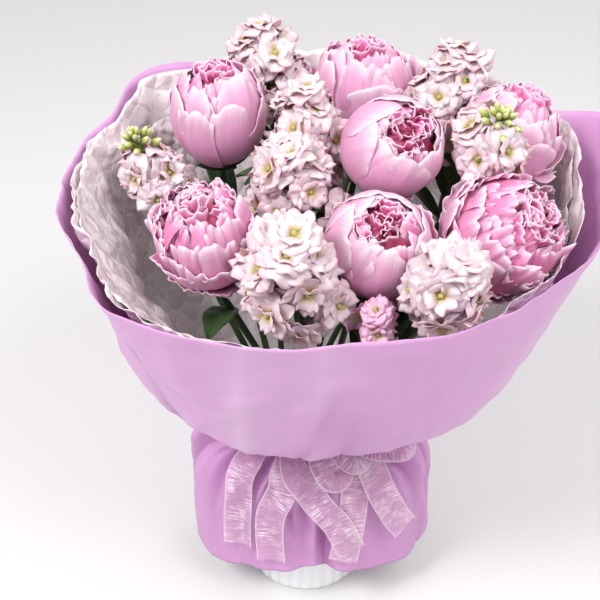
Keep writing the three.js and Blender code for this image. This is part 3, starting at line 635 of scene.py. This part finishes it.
def peony(number, bloom):
    """The petals of one bloom as one mesh."""
    draw = draws(100 + number)
    place = bloom_place(bloom)
    petals = Sheets()
    rings = [(ring, 360 * i / ring.count + RING_TURN * k + draw(-7, 7))
             for k, ring in enumerate(HABITS[bloom.habit]) for i in range(ring.count)]
    rings += [(Ring(count=1, share=1.02, root=6, reach=reach, width=width, ruffle=1.8, curl=0.4 * loose,
                    loose=loose, depth=0.0), bearing) for bearing, reach, width, loose in bloom.loose]
    for ring, bearing in rings:
        grid, u, v = petal_grid(draw, bloom.radius * draw(0.98, 1.0), ring, bearing)
        flush = draw(0, 1) ** (2 if bloom.habit == "globe" else 4) * (1 - v) ** 1.5
        petals.add(placed(grid, place), tone=v, across=u, depth=ring.depth, draw=draw(0, 1),
                   flush=flush)
    mouth, count, depth = HEARTS[bloom.habit]
    for _ in range(count):
        grid, u, v = heart_petal(draw, bloom.radius, mouth)
        petals.add(placed(grid, place), tone=v, across=u, depth=depth, draw=draw(0, 1), flush=0)
    petals.add(placed(heart_core(bloom.radius), place), closed=True, tone=0, across=0, depth=1, draw=0,
               flush=0)
    return petals.build(f"peony_{number}_petals", THICK["petal"])


# ---- Stems, calyxes and leaves ----

CALYX_GAP = 1.2  # between a bloom's outer petals and its sepals
CALYX = [(7.3, 2.6), (4.8, 4.2), (2.2, 7.5), (0, 9.8)]  # drop below the bloom's base, radius


def spread_at(z):
    """The turn and scale in plan, at a height, of all stems together."""
    above = maximum(0, (z - WAIST["z"]) / (SPREAD["top"] - WAIST["z"]))
    below = maximum(0, (WAIST["z"] - z) / WAIST["z"])
    waist = SPREAD["waist"]
    scale = waist + (1 - waist) * above + (SPREAD["foot"] - waist) * below
    return scale + 1j * SPREAD["twist"] * maximum(0, 1 - above)


def stem_line(end, facing):
    """The course of the stem whose flower's base is at end."""
    neck = end - NECK * axis_of(facing)
    heights = np.array([VASE["floor"] + SEAT + STEM_RADIUS, *STEM_STATIONS], float)
    plan = (neck[0] + 1j * neck[1]) * spread_at(heights) / spread_at(neck[2])
    stations = np.column_stack([plan.real, plan.imag, heights])
    return course(np.vstack([stations, neck, end]), np.linspace(0, 1, 60))


def leaf_grid(line, z, bearing, length, breadth=LEAF_WIDTH):
    """A leaf that arches up and out from its stem, with a sunk midrib and a waved edge."""
    start = line[np.argmin(abs(line[:, 2] - z))]
    u, v = patch(17, 31)
    width = breadth / 2 * sin(pi * (0.04 + 0.955 * v)) ** 0.8
    rise = 34 * sin(1.9 * v) + 3 * abs(u) ** 1.3 + 0.8 * sin(14 * v + 2 * u) * abs(u)
    reach = length * v - STEM_RADIUS * 0.5 + 0 * u
    return start + turned(reach, width * u, rise, radians(bearing))


def stock_stem(number, spike):
    """A stock's stem with the narrow leaves below its florets."""
    draw = draws(800 + number)
    base = np.array(spike.at) - axis_of(spike.facing) * (spike.length / 2 + SEAT)
    line = stem_line(base, spike.facing)
    green = Sheets().add(tube(line, STEM_RADIUS), closed=True)
    inward = np.degrees(np.arctan2(-base[1], -base[0]))
    for k in range(STOCK_LEAVES["count"]):
        z = base[2] - STOCK_LEAVES["start"] - STOCK_LEAVES["step"] * k
        bearing = inward + STOCK_LEAVES["scatter"] * sin(GOLDEN * k)
        length = STOCK_LEAVES["length"] * draw(0.85, 1.1)
        green.add(leaf_grid(line, z, bearing, length, STOCK_LEAVES["width"]))
    return green.build(f"stock_{number}_long_stem", THICK["leaf"])


def sepal_grids(radius, draw):
    """Five small sepals that hug the base of a bloom, in the bloom's own frame."""
    u, v = patch(9, 11)
    for i in range(5):
        phi = radians(4 + v * (30 + draw(-6, 8)) + 0 * u)
        theta = radians(11) * sin(pi * (0.2 + 0.76 * v)) * u
        swing = radians(72 * i + draw(-10, 10))
        yield on_sphere(phi, theta, swing) * (radius + CALYX_GAP + 0.6 * i / 5)


def peony_stem(number, bloom):
    """A peony's stem with its calyx, sepals and leaf."""
    draw = draws(300 + number)
    place = frame_at(bloom.at, bloom.facing)
    base = (bloom.radius + CALYX_GAP) * bloom.tall
    line = stem_line(placed(np.array([0, 0, -base - SEAT - 5]), place), bloom.facing)
    joints = 0.06 * sin(31 * np.linspace(0, 1, len(line)))
    green = Sheets().add(tube(line, STEM_RADIUS * (1 - joints)), closed=True)
    drops, radii = np.array(CALYX).T
    cup = [(0, 0, -base - drop) for drop in drops]
    green.add(placed(tube(cup, radii, 16), place), closed=True)
    for grid in sepal_grids(bloom.radius, draw):
        green.add(placed(grid, bloom_place(bloom)))
    for stem, z, bearing, length in LEAVES:
        if stem == number:
            green.add(leaf_grid(line, z, bearing, length))
    return green.build(f"peony_{number}_stalk", THICK["leaf"])


# ---- Stocks ----

FLORET_RADIUS = 21
FLORETS_PER_MM2 = 1 / 1080

# Rings of a double floret: petals, reach as a share of its radius, climb from flat, half width.
FLORET_RINGS = [(5, 1.0, 2, 0.58), (5, 0.84, 26, 0.52), (4, 0.58, 50, 0.38)]
EYE = 0.1  # radius of a floret's green eye, as a share of the floret's
FLOWERING = 0.64  # share of a spike that has opened, where buds crown it
BUDS = 20


def floret_petal(draw, reach, climb, half, bearing):
    """A clawed petal with a frilled rim in the floret's frame, as a grid of points."""
    u, v = patch(15, 10)
    phase = draw(0, TAU, 5)
    waves = sin(5.5 * u + phase[3]) + 0.5 * sin(9 * u + phase[4])
    width = half * (0.14 + 0.86 * sin(pi / 2 * minimum(1, v / 0.72)) ** 1.5)
    length = v * (1 - 0.36 * abs(u) ** 2.6 - 0.07 * hump(u, 0, 0.22) * v + 0.03 * waves * v)
    rise = radians(climb)
    bend = 0.16 * v**1.5 * sin(2.6 * u + phase[0]) + 0.07 * v**2 * waves + 0.06 * sin(5 * v + phase[2])
    roll = 0.2 * sin(phase[1]) * v**2 * u**2
    out = reach * (length * cos(rise) + 0.3 * v**2.6 * sin(rise)) + 0.07
    up = reach * (length * sin(rise) - 0.3 * v**2.6 * cos(rise) + bend + roll)
    side = width * u * (1 - 0.15 * v * sin(2 * u + phase[0]) ** 2)
    return turned(out, side, up, bearing), u, v


def floret_eye():
    """The little lobed dome in the middle of a floret."""
    turn = circle(15)
    v = np.linspace(0, 1, 5)[None, :]
    reach = EYE * (1 + 0.25 * cos(5 * turn)) * sin(pi / 2 * (1 - v)) + 0.002
    return spun(reach, turn, 0.06 + 1.4 * EYE * v)


def pressed_clear(point, spike):
    """A floret's centre moved clear of the peonies and kept on its own spike's side of the others."""
    for bloom in PEONIES:
        turn, centre = bloom_place(bloom)
        away = np.linalg.solve(turn, point - centre)
        least = bloom.radius + 0.5 * FLORET_RADIUS
        if np.linalg.norm(away) < least:
            point = turn @ (unit(away) * least) + centre
    for other in STOCKS:
        if other is spike:
            continue
        gap = np.array(other.at, float) - spike.at
        share = spike.radius / (spike.radius + other.radius) * np.linalg.norm(gap)
        beyond = (point - spike.at) @ unit(gap) - share + 0.4 * FLORET_RADIUS
        if beyond > 0:
            point = point - unit(gap) * beyond
    return point


def floret_places(spike):
    """Roots, centres and facings of a spike's florets, up a spiral round it."""
    turn, at = frame_at(spike.at, spike.facing)
    count = int(TAU * spike.radius * spike.length * FLORETS_PER_MM2)
    highest = FLOWERING if spike.mark == "buds" else 1
    for i in range(count):
        share = i / (count - 1) * highest
        climb = radians(-14 + 94 * share**1.5)
        facing = spun(cos(climb), radians(GOLDEN * i), sin(climb))
        root = np.array([0, 0, 10 - spike.length / 2 + (spike.length - 28) * share])
        centre = root + facing * (spike.radius - 7 - 4 * share)
        yield turn @ root + at, pressed_clear(turn @ centre + at, spike), turn @ facing


def stock_florets(number, spike):
    """All florets of a spike as one mesh, and their stalks as another."""
    draw = draws(500 + number)
    florets = Sheets()
    stalks = Sheets()
    for root, centre, facing in floret_places(spike):
        size = min(FLORET_RADIUS, 0.62 * spike.radius) * draw(0.86, 1.08)
        place = frame_at(centre + facing * draw(-6, 2.5), unit(facing + draw(-0.4, 0.4, 3)))
        for petals, reach, climb, half in FLORET_RINGS:
            start = draw(0, TAU)
            for k in range(petals):
                bearing = start + TAU * k / petals + draw(-0.15, 0.15)
                lean = climb + draw(-7, 7)
                grid, u, v = floret_petal(draw, reach * draw(0.84, 1.08), lean, half, bearing)
                florets.add(placed(grid * size, place), tone=v, across=u, draw=draw(0, 1))
        florets.add(placed(floret_eye() * size, place), closed=True, tone=0, across=0, draw=0)
        back = centre - facing * 0.5
        stalks.add(tube(np.linspace(root, back, 5), np.linspace(1.1, 1.6, 5), 6), closed=True)
    half = spike.length / 2
    low, high = (spike.at + axis_of(spike.facing) * h for h in (-half - SEAT, half - 6))
    stalks.add(tube(np.linspace(low, high, 6), np.linspace(2.7, 1.8, 6), 8), closed=True)
    return (florets.build(f"stock_{number}_petals", THICK["floret"]),
            stalks.build(f"stock_{number}_stalks"))


def bud_grid(length, width):
    """A pointed oval bud on its own axis."""
    turn = circle(12)
    v = np.linspace(0, 1, 11)[None, :]
    r = width * sin(pi * v) ** 0.8 * (1 - 0.25 * v) * (1 + 0.06 * cos(4 * turn))
    return spun(r, turn, length * v), v


def stock_buds(number, spike):
    """Green buds crowded at the tip of a spike, the upper ones smaller."""
    draw = draws(700 + number)
    place = frame_at(spike.at, spike.facing)
    low = spike.length / 2 - 12
    buds = Sheets()
    for i in range(BUDS):
        share = i / (BUDS - 1)
        lean = radians(78 * (1 - share) ** 0.8)
        way = spun(sin(lean), radians(GOLDEN * i), cos(lean))
        grid, v = bud_grid(13 - 5 * share + draw(-1, 1), 3.8 - 1.5 * share)
        start = np.array([0, 0, low + 15 * share])
        stalk = 8 * (1 - share) + 1.5
        bud = placed(grid, frame_at(start + way * stalk, way))
        buds.add(placed(bud, place), closed=True, tone=v)
        stem = tube(np.linspace(start - (0, 0, 2), start + way * (stalk + 1), 4), 0.9, 6)
        buds.add(placed(stem, place), closed=True, tone=0)
    return buds.build(f"stock_{number}_green_buds")


# ---- Vase and tie ----

TWINE = {"turns": 5, "radius": 0.95, "gap": 1.1, "inset": 1.6}


def vase():
    """The fluted vase, from the middle of its foot up outside, over the lip and down inside."""
    turn = circle(12 * VASE["flutes"])
    rib = abs(cos(turn * VASE["flutes"] / 2)) ** 0.7
    foot, rim, height = VASE["foot"], VASE["rim"], VASE["height"]
    wall, floor = VASE["wall"], VASE["floor"]
    rows = [(0, 2, 0), (foot - 9, 2, 0), (foot - 7, 0.3, 0), (foot - 3.6, 0, 0), (foot - 1.6, 0.8, 0.3),
            (foot - 0.4, 2.6, 1)]
    rows += [(foot + (rim - foot) * t, 2.6 + (height - 6) * t, 1) for t in np.linspace(0.04, 1, 16)]
    rows += [(rim - 0.6, height - 1.2, 0.4), (rim - 1.8, height, 0), (rim - wall + 0.4, height - 0.2, 0),
             (rim - wall - 0.8, height - 2, 0), (rim - wall - 1, height - 12, 0),
             (foot - wall - 2, floor + 10, 0), (foot - wall - 6, floor + 1, 0), (0, floor, 0)]
    reach, z, fluted = (np.array(column)[None, :] for column in zip(*rows))
    grid = spun(reach - VASE["flute"] * fluted * (1 - rib), turn, z)
    return Sheets().add(grid, closed=True).build("fluted_vase")


def tie():
    """Twine wound round the stems at the waist."""
    t = np.linspace(0, 1, 60 * TWINE["turns"])
    low = TWINE["inset"] - WAIST["half"]
    line = spun(WAIST["stems"] + TWINE["gap"], TAU * TWINE["turns"] * t, WAIST["z"] + low - 2 * low * t)
    return Sheets().add(tube(line, TWINE["radius"], 8), closed=True).build("twine_tie")


# ---- Wrapping ----

TISSUE_WAIST, COLLAR, SKIRT_WAIST = (WAIST["stems"] + 2 + k * (SEAT + PAPER) for k in (1, 2, 3))
AROUND = 480
BEARINGS = np.linspace(-180, 180, AROUND, endpoint=False)
MEAN_REACH = 170  # by which bearings on the wrap are turned to millimetres round it
WRAP_HEIGHT = 330


def rim_at(bearing, column):
    """A column of the rim's table at any bearings, eased between its rows."""
    turn = half_turn(bearing)
    rows = np.vstack([RIM, RIM[:1] + (360, 0, 0, 0, 0)])
    last = np.searchsorted(RIM[:, 0], turn, side="right") - 1
    ease = step(turn, rows[last, 0], rows[last + 1, 0])
    return rows[last, column] * (1 - ease) + rows[last + 1, column] * ease


def belly_at(bearing):
    side = cos(radians(bearing))
    front = -sin(radians(bearing))
    across = np.where(side > 0, BELLY["right"], BELLY["left"])
    along = np.where(front > 0, BELLY["front"], BELLY["back"])
    return across * side**2 + along * front**2


def front_left(bearing, low, high):
    """How near a bearing is to the front left, from 0 to 1: low and high are cosines of its offset."""
    return step(cos(radians(bearing - FRONT_LEFT)), low, high)


def wrap_profile(bearing, inside, flare=0.0):
    """Stations (reach, height) of a wrapping sheet's profile at each bearing. Flare takes the tissue's
    rim a share of the way out to the lilac one, at the front left."""
    belly, rim = belly_at(bearing), rim_at(bearing, RIM_REACH)
    z, half = WAIST["z"], WAIST["half"]
    waist, room, inset, top = COLLAR, 0, 0, rim_at(bearing, LILAC_TOP)
    if inside:
        waist, room, top = TISSUE_WAIST, TISSUE_ROOM, rim_at(bearing, TISSUE_TOP)
        inset = rim_at(bearing, TISSUE_INSET) * (1 - flare * front_left(bearing, 0, 0.7))
        inset = maximum(room, inset)
    reach = [waist, waist, COLLAR * 0.38 + belly * 0.62 - room, belly - room,
             belly * 0.48 + rim * 0.52 - (room + inset) / 2, rim - inset]
    height = [z - half - 4, z + half + 2 + room, z * 0.45 + BELLY["z"] * 0.55, BELLY["z"],
              BELLY["z"] * 0.54 + RIM_LEVEL * 0.46, top]
    stations = [np.broadcast_to(part, bearing.shape) for part in reach + height]
    return np.stack([np.stack(stations[:6], -1), np.stack(stations[6:], -1)], -1)


def wrap_face(profile, rows):
    """A sheet through a profile at each of BEARINGS, with its bearings, shares, arcs and heights."""
    bearing = BEARINGS[:, None]
    share = np.linspace(0, 1, rows)[None, :]
    curve = course(profile, share[0])
    grid = spun(curve[..., 0], radians(bearing), curve[..., 1])
    return grid, bearing, share, radians(bearing) * MEAN_REACH, share * WRAP_HEIGHT


def pushed(grid, height):
    """A sheet's points moved along its own normals, which face inward, by a height."""
    across = np.roll(grid, -1, 0) - np.roll(grid, 1, 0)
    along = np.gradient(grid, axis=1)
    return grid + unit(np.cross(along, across)) * height[..., None]


def facets(draw, x, y, low, high):
    """Flat facets with crisp folds between: the highest of three zigzags in random directions."""
    waves = []
    for _ in range(3):
        way = draw(0, pi)
        pitch = draw(low, high)
        phase = draw(0, 1)
        wave = (x * cos(way) + y * sin(way)) / pitch + phase
        bent = wave + 0.3 * sin(2.5 * (x * sin(way) - y * cos(way)) / high + 9 * phase)
        waves.append(2 * zigzag(bent) - 1)
    return np.max(waves, axis=0)


def crumple(draw, x, y, low, high):
    """Crumpled paper, from -1 to 1: ridges less hollows, at pitches from low to high."""
    return (facets(draw, x, y, low, high) - facets(draw, x, y, low, high)) / 2


def creases(draw, bearing, share, count, height, width):
    """Sharp ridges and valleys by turns, which run up and down a sheet from near the waist."""
    total = 0 * bearing * share
    for i in range(count):
        top = 360 * (i + draw(-0.35, 0.35)) / count
        slant, low, high = draw(-34, 34), draw(0.08, 0.25), draw(0.65, 1.15)
        off = half_turn(bearing - top - slant * share)
        reach = sin(pi * clip((share - low) / (high - low), 0, 1)) ** 0.6
        spread = width * draw(0.6, 1.4) * (0.6 + share)
        total += (-1) ** i * height * draw(0.5, 1) * reach * exp(-abs(off) / spread)
    return total


def lilac_wrap():
    """The outer sheet, gathered at the waist and creased where it was folded."""
    draw = draws(11)
    grid, bearing, share, arc, rise = wrap_face(wrap_profile(BEARINGS, False), 90)
    turn = radians(bearing)
    gathers = sin(turn * 23) + 0.5 * sin(turn * 41 + 1)
    gathers = gathers * (1 - step(share, 0.12, 0.5)) * step(share, 0.1, 0.3)
    folds = 4 * crumple(draw, arc, rise, 70, 150) + 1.4 * crumple(draw, arc, rise, 30, 60) - 3.4
    high = 4.2
    lines = creases(draw, bearing, share, 20, high, 3.4)
    grid = pushed(grid, (folds + lines) * step(share, 0.25, 0.5) - 1.2 * gathers)
    # Painted shade in the gathers and down the creases' valleys, and a painted highlight on their ridges.
    dark = 0.25 * clip(gathers, 0, 1) + 0.17 * clip(lines, 0, high)
    made = Sheets().add(grid, closed=True, crease=dark, ridge=0.24 * clip(-lines, 0, high))
    return made.build("lilac_wrap_sheet", THICK["lilac"])


def tissue_layer(name, seed, behind, drop, flare, bulge):
    """A layer of crinkled glassine, a little behind the first one's face, its rim dropped and uneven.
    Bulge is how far it billows towards the flowers at the front left."""
    draw = draws(seed)
    profile = wrap_profile(BEARINGS, True, flare)
    turn = radians(BEARINGS)
    wander = sin(turn * 2 + seed) + 0.6 * sin(turn * 5 + 2 * seed)
    corners = zigzag(BEARINGS / 30) + 0.6 * zigzag((BEARINGS + 9 * seed) / 72)
    left = front_left(BEARINGS, 0.5, 1)
    sunk = (drop * (1 + 0.6 * wander) + 7 * corners) * (1 - 0.8 * flare * left)
    lower = (sunk / (profile[:, 5, 1] - profile[:, 4, 1]))[:, None]
    profile[:, 5] += lower * (profile[:, 4] - profile[:, 5])
    grid, _, share, arc, rise = wrap_face(profile, 100)
    pitches = ((60, 120), (25, 50), (9, 17))
    coarse, middle, fine = (crumple(draw, arc, rise, low, high) for low, high in pitches)
    crinkles = (6 * coarse + 4.5 * middle + 1.1 * fine) * (0.1 + 0.9 * step(share, 0.3, 0.8))
    height = behind + crinkles + bulge * left[:, None] * hump(share, 0.8, 0.14)
    made = Sheets().add(pushed(grid, maximum(height, behind * 0.5 - 1.5)), closed=True)
    return made.build(name, THICK["glassine"])


SKIRT_CURVES = [np.array([(0, WAIST["z"] + WAIST["half"]), *rows]) + (SKIRT_WAIST, 0)
                for rows in (SKIRT_SIDE, SKIRT_FRONT)]


def skirt_face(bearing, share):
    """The skirt's surface: bearing in degrees, share from the waist to the hem."""
    turn = radians(bearing)
    wide = cos(turn) ** 2
    side, front = (course(curve, np.ravel(share)).reshape(*np.shape(share), 2)
                   for curve in SKIRT_CURVES)
    loose = maximum(0, share - 0.2)
    reach = front[..., 0] * (1 - wide) + side[..., 0] * wide
    reach = reach + SKIRT_PLEAT * loose * sin(SKIRT_PLEATS * turn)
    grid = spun(reach, turn, front[..., 1] * (1 - wide) + side[..., 1] * wide)
    grid[..., 0] += SKIRT_LEAN * loose
    return grid


def skirt_normal(bearing, share):
    share = clip(share, 0.02, 0.98)
    across = skirt_face(bearing + 2, share) - skirt_face(bearing - 2, share)
    along = skirt_face(bearing, share - 0.02) - skirt_face(bearing, share + 0.02)
    return unit(np.cross(across, along))


# Deep tucks of the skirt: bearing at the waist and at the hem, where along it each is deepest, depth.
TUCKS = [(-104, -116, 0.4, 11), (-88, -96, 0.5, 9), (-76, -82, 0.8, 12), (-120, -138, 0.5, 8),
         (-56, -44, 0.45, 9), (-140, -152, 0.4, 8), (-30, -22, 0.5, 8), (10, 14, 0.5, 9),
         (40, 48, 0.5, 8), (75, 70, 0.6, 10), (110, 116, 0.5, 8), (150, 158, 0.5, 9), (-172, -178, 0.5, 7)]
DEEPEST = 12
TUCK_WIDTH = 7


def tucked(bearing, share):
    """How deep the skirt is tucked in: narrow grooves with flat sides."""
    total = 0 * bearing * share
    for waist, hem, deepest, depth in TUCKS:
        off = half_turn(bearing - waist - (hem - waist) * share)
        reach = hump(share, deepest, 0.3) * step(share, 0.1, 0.3)
        total += depth * reach * maximum(0, 1 - abs(off) / TUCK_WIDTH)
    return total


def skirt():
    """Paper gathered at the waist and hanging in folds over the vase."""
    draw = draws(13)
    bearing = np.linspace(0, 360, AROUND, endpoint=False)[:, None]
    share = np.linspace(0, 1, 100)[None, :]
    turn = radians(bearing)
    gathers = sin(19 * turn + 1.2 * sin(3 * turn)) + 0.6 * sin(33 * turn + 2)
    gathers = gathers * step(share, 0.12, 0.3) * (1 - step(share, 0.35, 1))
    folds = 3.4 * crumple(draw, turn * 120, share * 160, 35, 80) * step(share, 0.15, 0.5)
    tucks = tucked(bearing, share)
    high = 8
    lines = creases(draw, bearing, share, 26, high, 3.2)
    height = 1.4 * gathers + folds + lines - tucks
    grid = skirt_face(bearing, share) + skirt_normal(bearing, share) * height[..., None]
    # Painted shade: the whole skirt a little darker, as in the belly's shadow, and more in the gathers,
    # tucks and creases; a painted highlight on the ridges.
    shade = 0.27 + 0.3 * clip(-gathers, 0, 1) + tucks / DEEPEST + 0.05 * clip(-lines, 0, high)
    made = Sheets().add(grid, closed=True, crease=clip(shade, 0, 0.85),
                        ridge=0.05 * clip(lines, 0, high))
    return made.build("lilac_skirt_sheet", THICK["lilac"])


# ---- Ribbon ----

# Tails and loops run over the skirt through (bearing, share of the way to the hem, height off it).
TAILS = [
    [(-112, 0.14, 6), (-136, 0.3, 9), (-137, 0.44, 10), (-134, 0.66, 8), (-134, 0.86, 7)],
    [(-101, 0.14, 7), (-110, 0.3, 9), (-109, 0.46, 11), (-115, 0.68, 9), (-114, 0.91, 7)],
    [(-97, 0.14, 8), (-108, 0.25, 15), (-101, 0.38, 17), (-87, 0.5, 16), (-73, 0.66, 15),
     (-66, 0.84, 12)],
    [(-80, 0.14, 6), (-54, 0.28, 10), (-57, 0.42, 11), (-63, 0.62, 10), (-71, 0.9, 8)],
    [(-70, 0.14, 6), (-44, 0.34, 14), (-46, 0.5, 15), (-43, 0.66, 13), (-36, 0.8, 10)],
]
LOOPS = [
    [(-104, 0.14, 6), (-128, 0.18, 14), (-152, 0.25, 15)],
    [(-72, 0.14, 6), (-44, 0.3, 17), (-26, 0.44, 20)],
    [(-90, 0.14, 6), (-80, 0.26, 20), (-72, 0.4, 21)],
    [(-82, 0.14, 6), (-66, 0.24, 19), (-54, 0.36, 20)],
]
BAND_REACH = SKIRT_WAIST + SEAT + RIBBON_THICK
KNOT = {"half": 14, "thick": 6.5, "tall": 7}


def ribbon_grid(draw, stations, loop):
    """A run of ribbon along stations on the skirt, gathered where it starts, and where a loop ends."""
    u, v = patch(21, 90)
    bearing, share, off = course(stations, v[0]).T
    normal = skirt_normal(bearing, share)
    line = skirt_face(bearing, share) + normal * off[:, None]
    along = unit(np.gradient(line, axis=0))
    side = unit(np.cross(along, normal))
    up = np.cross(side, along)
    free = minimum(1, (4 if loop else 2.5) * v)
    if loop:
        free = minimum(free, 4 * (1 - v))
    half = RIBBON_WIDTH / 2 * (0.12 + 0.88 * free)
    phase = draw(0, TAU, 3)
    wave = 1.8 * sin(2.2 * u + 5 * v + phase[0]) + 0.8 * sin(9 * v + phase[2])
    gather = 1.3 * cos(9 * u + phase[1]) * (1 - free)
    return line + side * (u * half)[..., None] + up * (wave * free + gather)[..., None], u, v


def looped(stations):
    """Stations that go out and come back beneath, a little to one side."""
    back = [(bearing + 5, share - 0.02, height - 5) for bearing, share, height in stations[::-1]]
    return stations + back


def length_of(grid):
    """The length of a run of ribbon along its middle."""
    middle = grid[len(grid) // 2]
    return float(np.linalg.norm(np.diff(middle, axis=0), axis=-1).sum())


def add_band(made):
    """The band round the waist."""
    turn = circle(128)
    v = np.linspace(-1, 1, 9)[None, :]
    grid = spun(BAND_REACH + 0.5 * cos(3 * v + 11 * turn), turn, WAIST["z"] + 4 + 4 * v)
    made.add(grid, closed=True, across=v, along=turn, edge=step(abs(v), 0.9, 0.96))


def add_knot(made):
    """The pleated knot in front of the band."""
    turn = circle(48)
    polar = np.linspace(0, pi, 24)[None, :]
    girth = sin(polar) * (1 + 0.07 * sin(9 * turn + 2 * polar))
    knot = np.stack([KNOT["half"] * cos(polar) + 0 * turn, KNOT["thick"] * girth * cos(turn),
                     KNOT["tall"] * girth * sin(turn)], -1)
    made.add(knot + (1, -BAND_REACH - 5, WAIST["z"] + 3), closed=True, across=cos(polar), along=turn,
             edge=0.2)


def ribbon():
    """The organza ribbon: band, knot, loops and tails, and the length it was cut to."""
    draw = draws(21)
    made = Sheets()
    length = TAU * (BAND_REACH + KNOT["tall"])
    runs = [(stations, False) for stations in TAILS] + [(looped(stations), True) for stations in LOOPS]
    for stations, loop in runs:
        grid, u, v = ribbon_grid(draw, stations, loop)
        made.add(grid, across=u, along=v, edge=step(abs(u), 0.88, 0.95) + 0 * v)
        length += length_of(grid)
    add_band(made)
    add_knot(made)
    return made.build("organza_bow", THICK["organza"]), length


# ---- The stage ----

CAMERA = {"at": (-0.0069, -0.7056, 0.9418), "lens": 60, "pitch": 39.6, "sensor": 36}
FLOOR_HALF = 6
AIR = {"colour": (1, 0.985, 0.98, 1), "strength": 0.72}
LAMP_TARGET = (0, 0, 0.4)

# Lamps: name, place in metres, watts and width.
LAMPS = [("key", (-1.0, -0.8, 2.0), 34, 0.6), ("fill", (1.0, -0.9, 2.2), 24, 0.9),
         ("back", (1.1, 1.2, 1.9), 5, 0.6)]


def stage():
    """A pale floor, soft light from the upper left, and the camera at the photograph's angle."""
    floor = in_scene("floor", bpy.data.meshes.new("floor"))
    corners = [(x * FLOOR_HALF, y * FLOOR_HALF, 0) for x, y in ((-1, -1), (1, -1), (1, 1), (-1, 1))]
    floor.data.from_pydata(corners, [], [(0, 1, 2, 3)])
    floor.data.materials.append(floor_paint())

    world = bpy.data.worlds.new("studio")
    world.use_nodes = True
    background = world.node_tree.nodes["Background"]
    background.inputs["Color"].default_value = AIR["colour"]
    background.inputs["Strength"].default_value = AIR["strength"]
    bpy.context.scene.world = world

    for name, at, watts, width in LAMPS:
        lamp = in_scene(name, bpy.data.lights.new(name, "AREA"))
        lamp.data.energy = watts
        lamp.data.size = width
        lamp.location = at
        lamp.rotation_euler = (Vector(LAMP_TARGET) - Vector(at)).to_track_quat("-Z", "Y").to_euler()

    camera = in_scene("camera", bpy.data.cameras.new("camera"))
    camera.data.lens = CAMERA["lens"]
    camera.data.sensor_width = CAMERA["sensor"]
    camera.location = CAMERA["at"]
    camera.rotation_euler = (radians(90 - CAMERA["pitch"]), 0, 0)
    bpy.context.scene.camera = camera
    bpy.context.scene.view_settings.view_transform = "Standard"


# ---- The bunch ----

PINK = petal_paint()
BLUSH = floret_paint("floret_blush", (238, 216, 221), (228, 188, 200), (186, 176, 84))
MAUVE = floret_paint("floret_mauve", (240, 190, 214), (226, 150, 190), (190, 170, 120))
STEM = green_paint("stem_green", (112, 140, 72), (78, 106, 48))
LEAF = green_paint("leaf_green", (62, 88, 48), (34, 54, 30), 0.42)
BUD = bud_paint()
LILAC = lilac_paint()
TISSUE = tissue_paint()

for n, bloom in enumerate(PEONIES, 1):
    dress(peony(n, bloom), PINK, "petal_pink", f"peony_{n}_bloom")
    dress(peony_stem(n, bloom), LEAF, "stem_green", f"peony_{n}_stem")

for n, spike in enumerate(STOCKS, 1):
    petals, stalks = stock_florets(n, spike)
    dress(petals, MAUVE if spike.mark == "mauve" else BLUSH, "floret_blush", f"stock_{n}_florets")
    dress(stalks, STEM, "stem_green")
    dress(stock_stem(n, spike), LEAF, "stem_green", f"stock_{n}_stem")
    if spike.mark == "buds":
        dress(stock_buds(n, spike), BUD, "bud_green", f"stock_{n}_buds")

dress(vase(), glaze_paint(), "glazed_white", "vase")
dress(tie(), twine_paint(), "tie_twine", "stem_tie")
dress(tissue_layer("glassine_tissue", 12, 0, 0, 1, 20), TISSUE, "tissue_paper", "tissue_wrap")
dress(tissue_layer("glassine_inner_layer", 17, 3, 24, 0.8, 26), TISSUE, "tissue_paper", "tissue_wrap")
dress(lilac_wrap(), LILAC, "lilac_paper", "lilac_wrap")
dress(skirt(), LILAC, "lilac_paper", "lilac_skirt")
bow, bow_length = ribbon()
dress(bow, organza_paint(), "organza", "organza_ribbon")
stage()
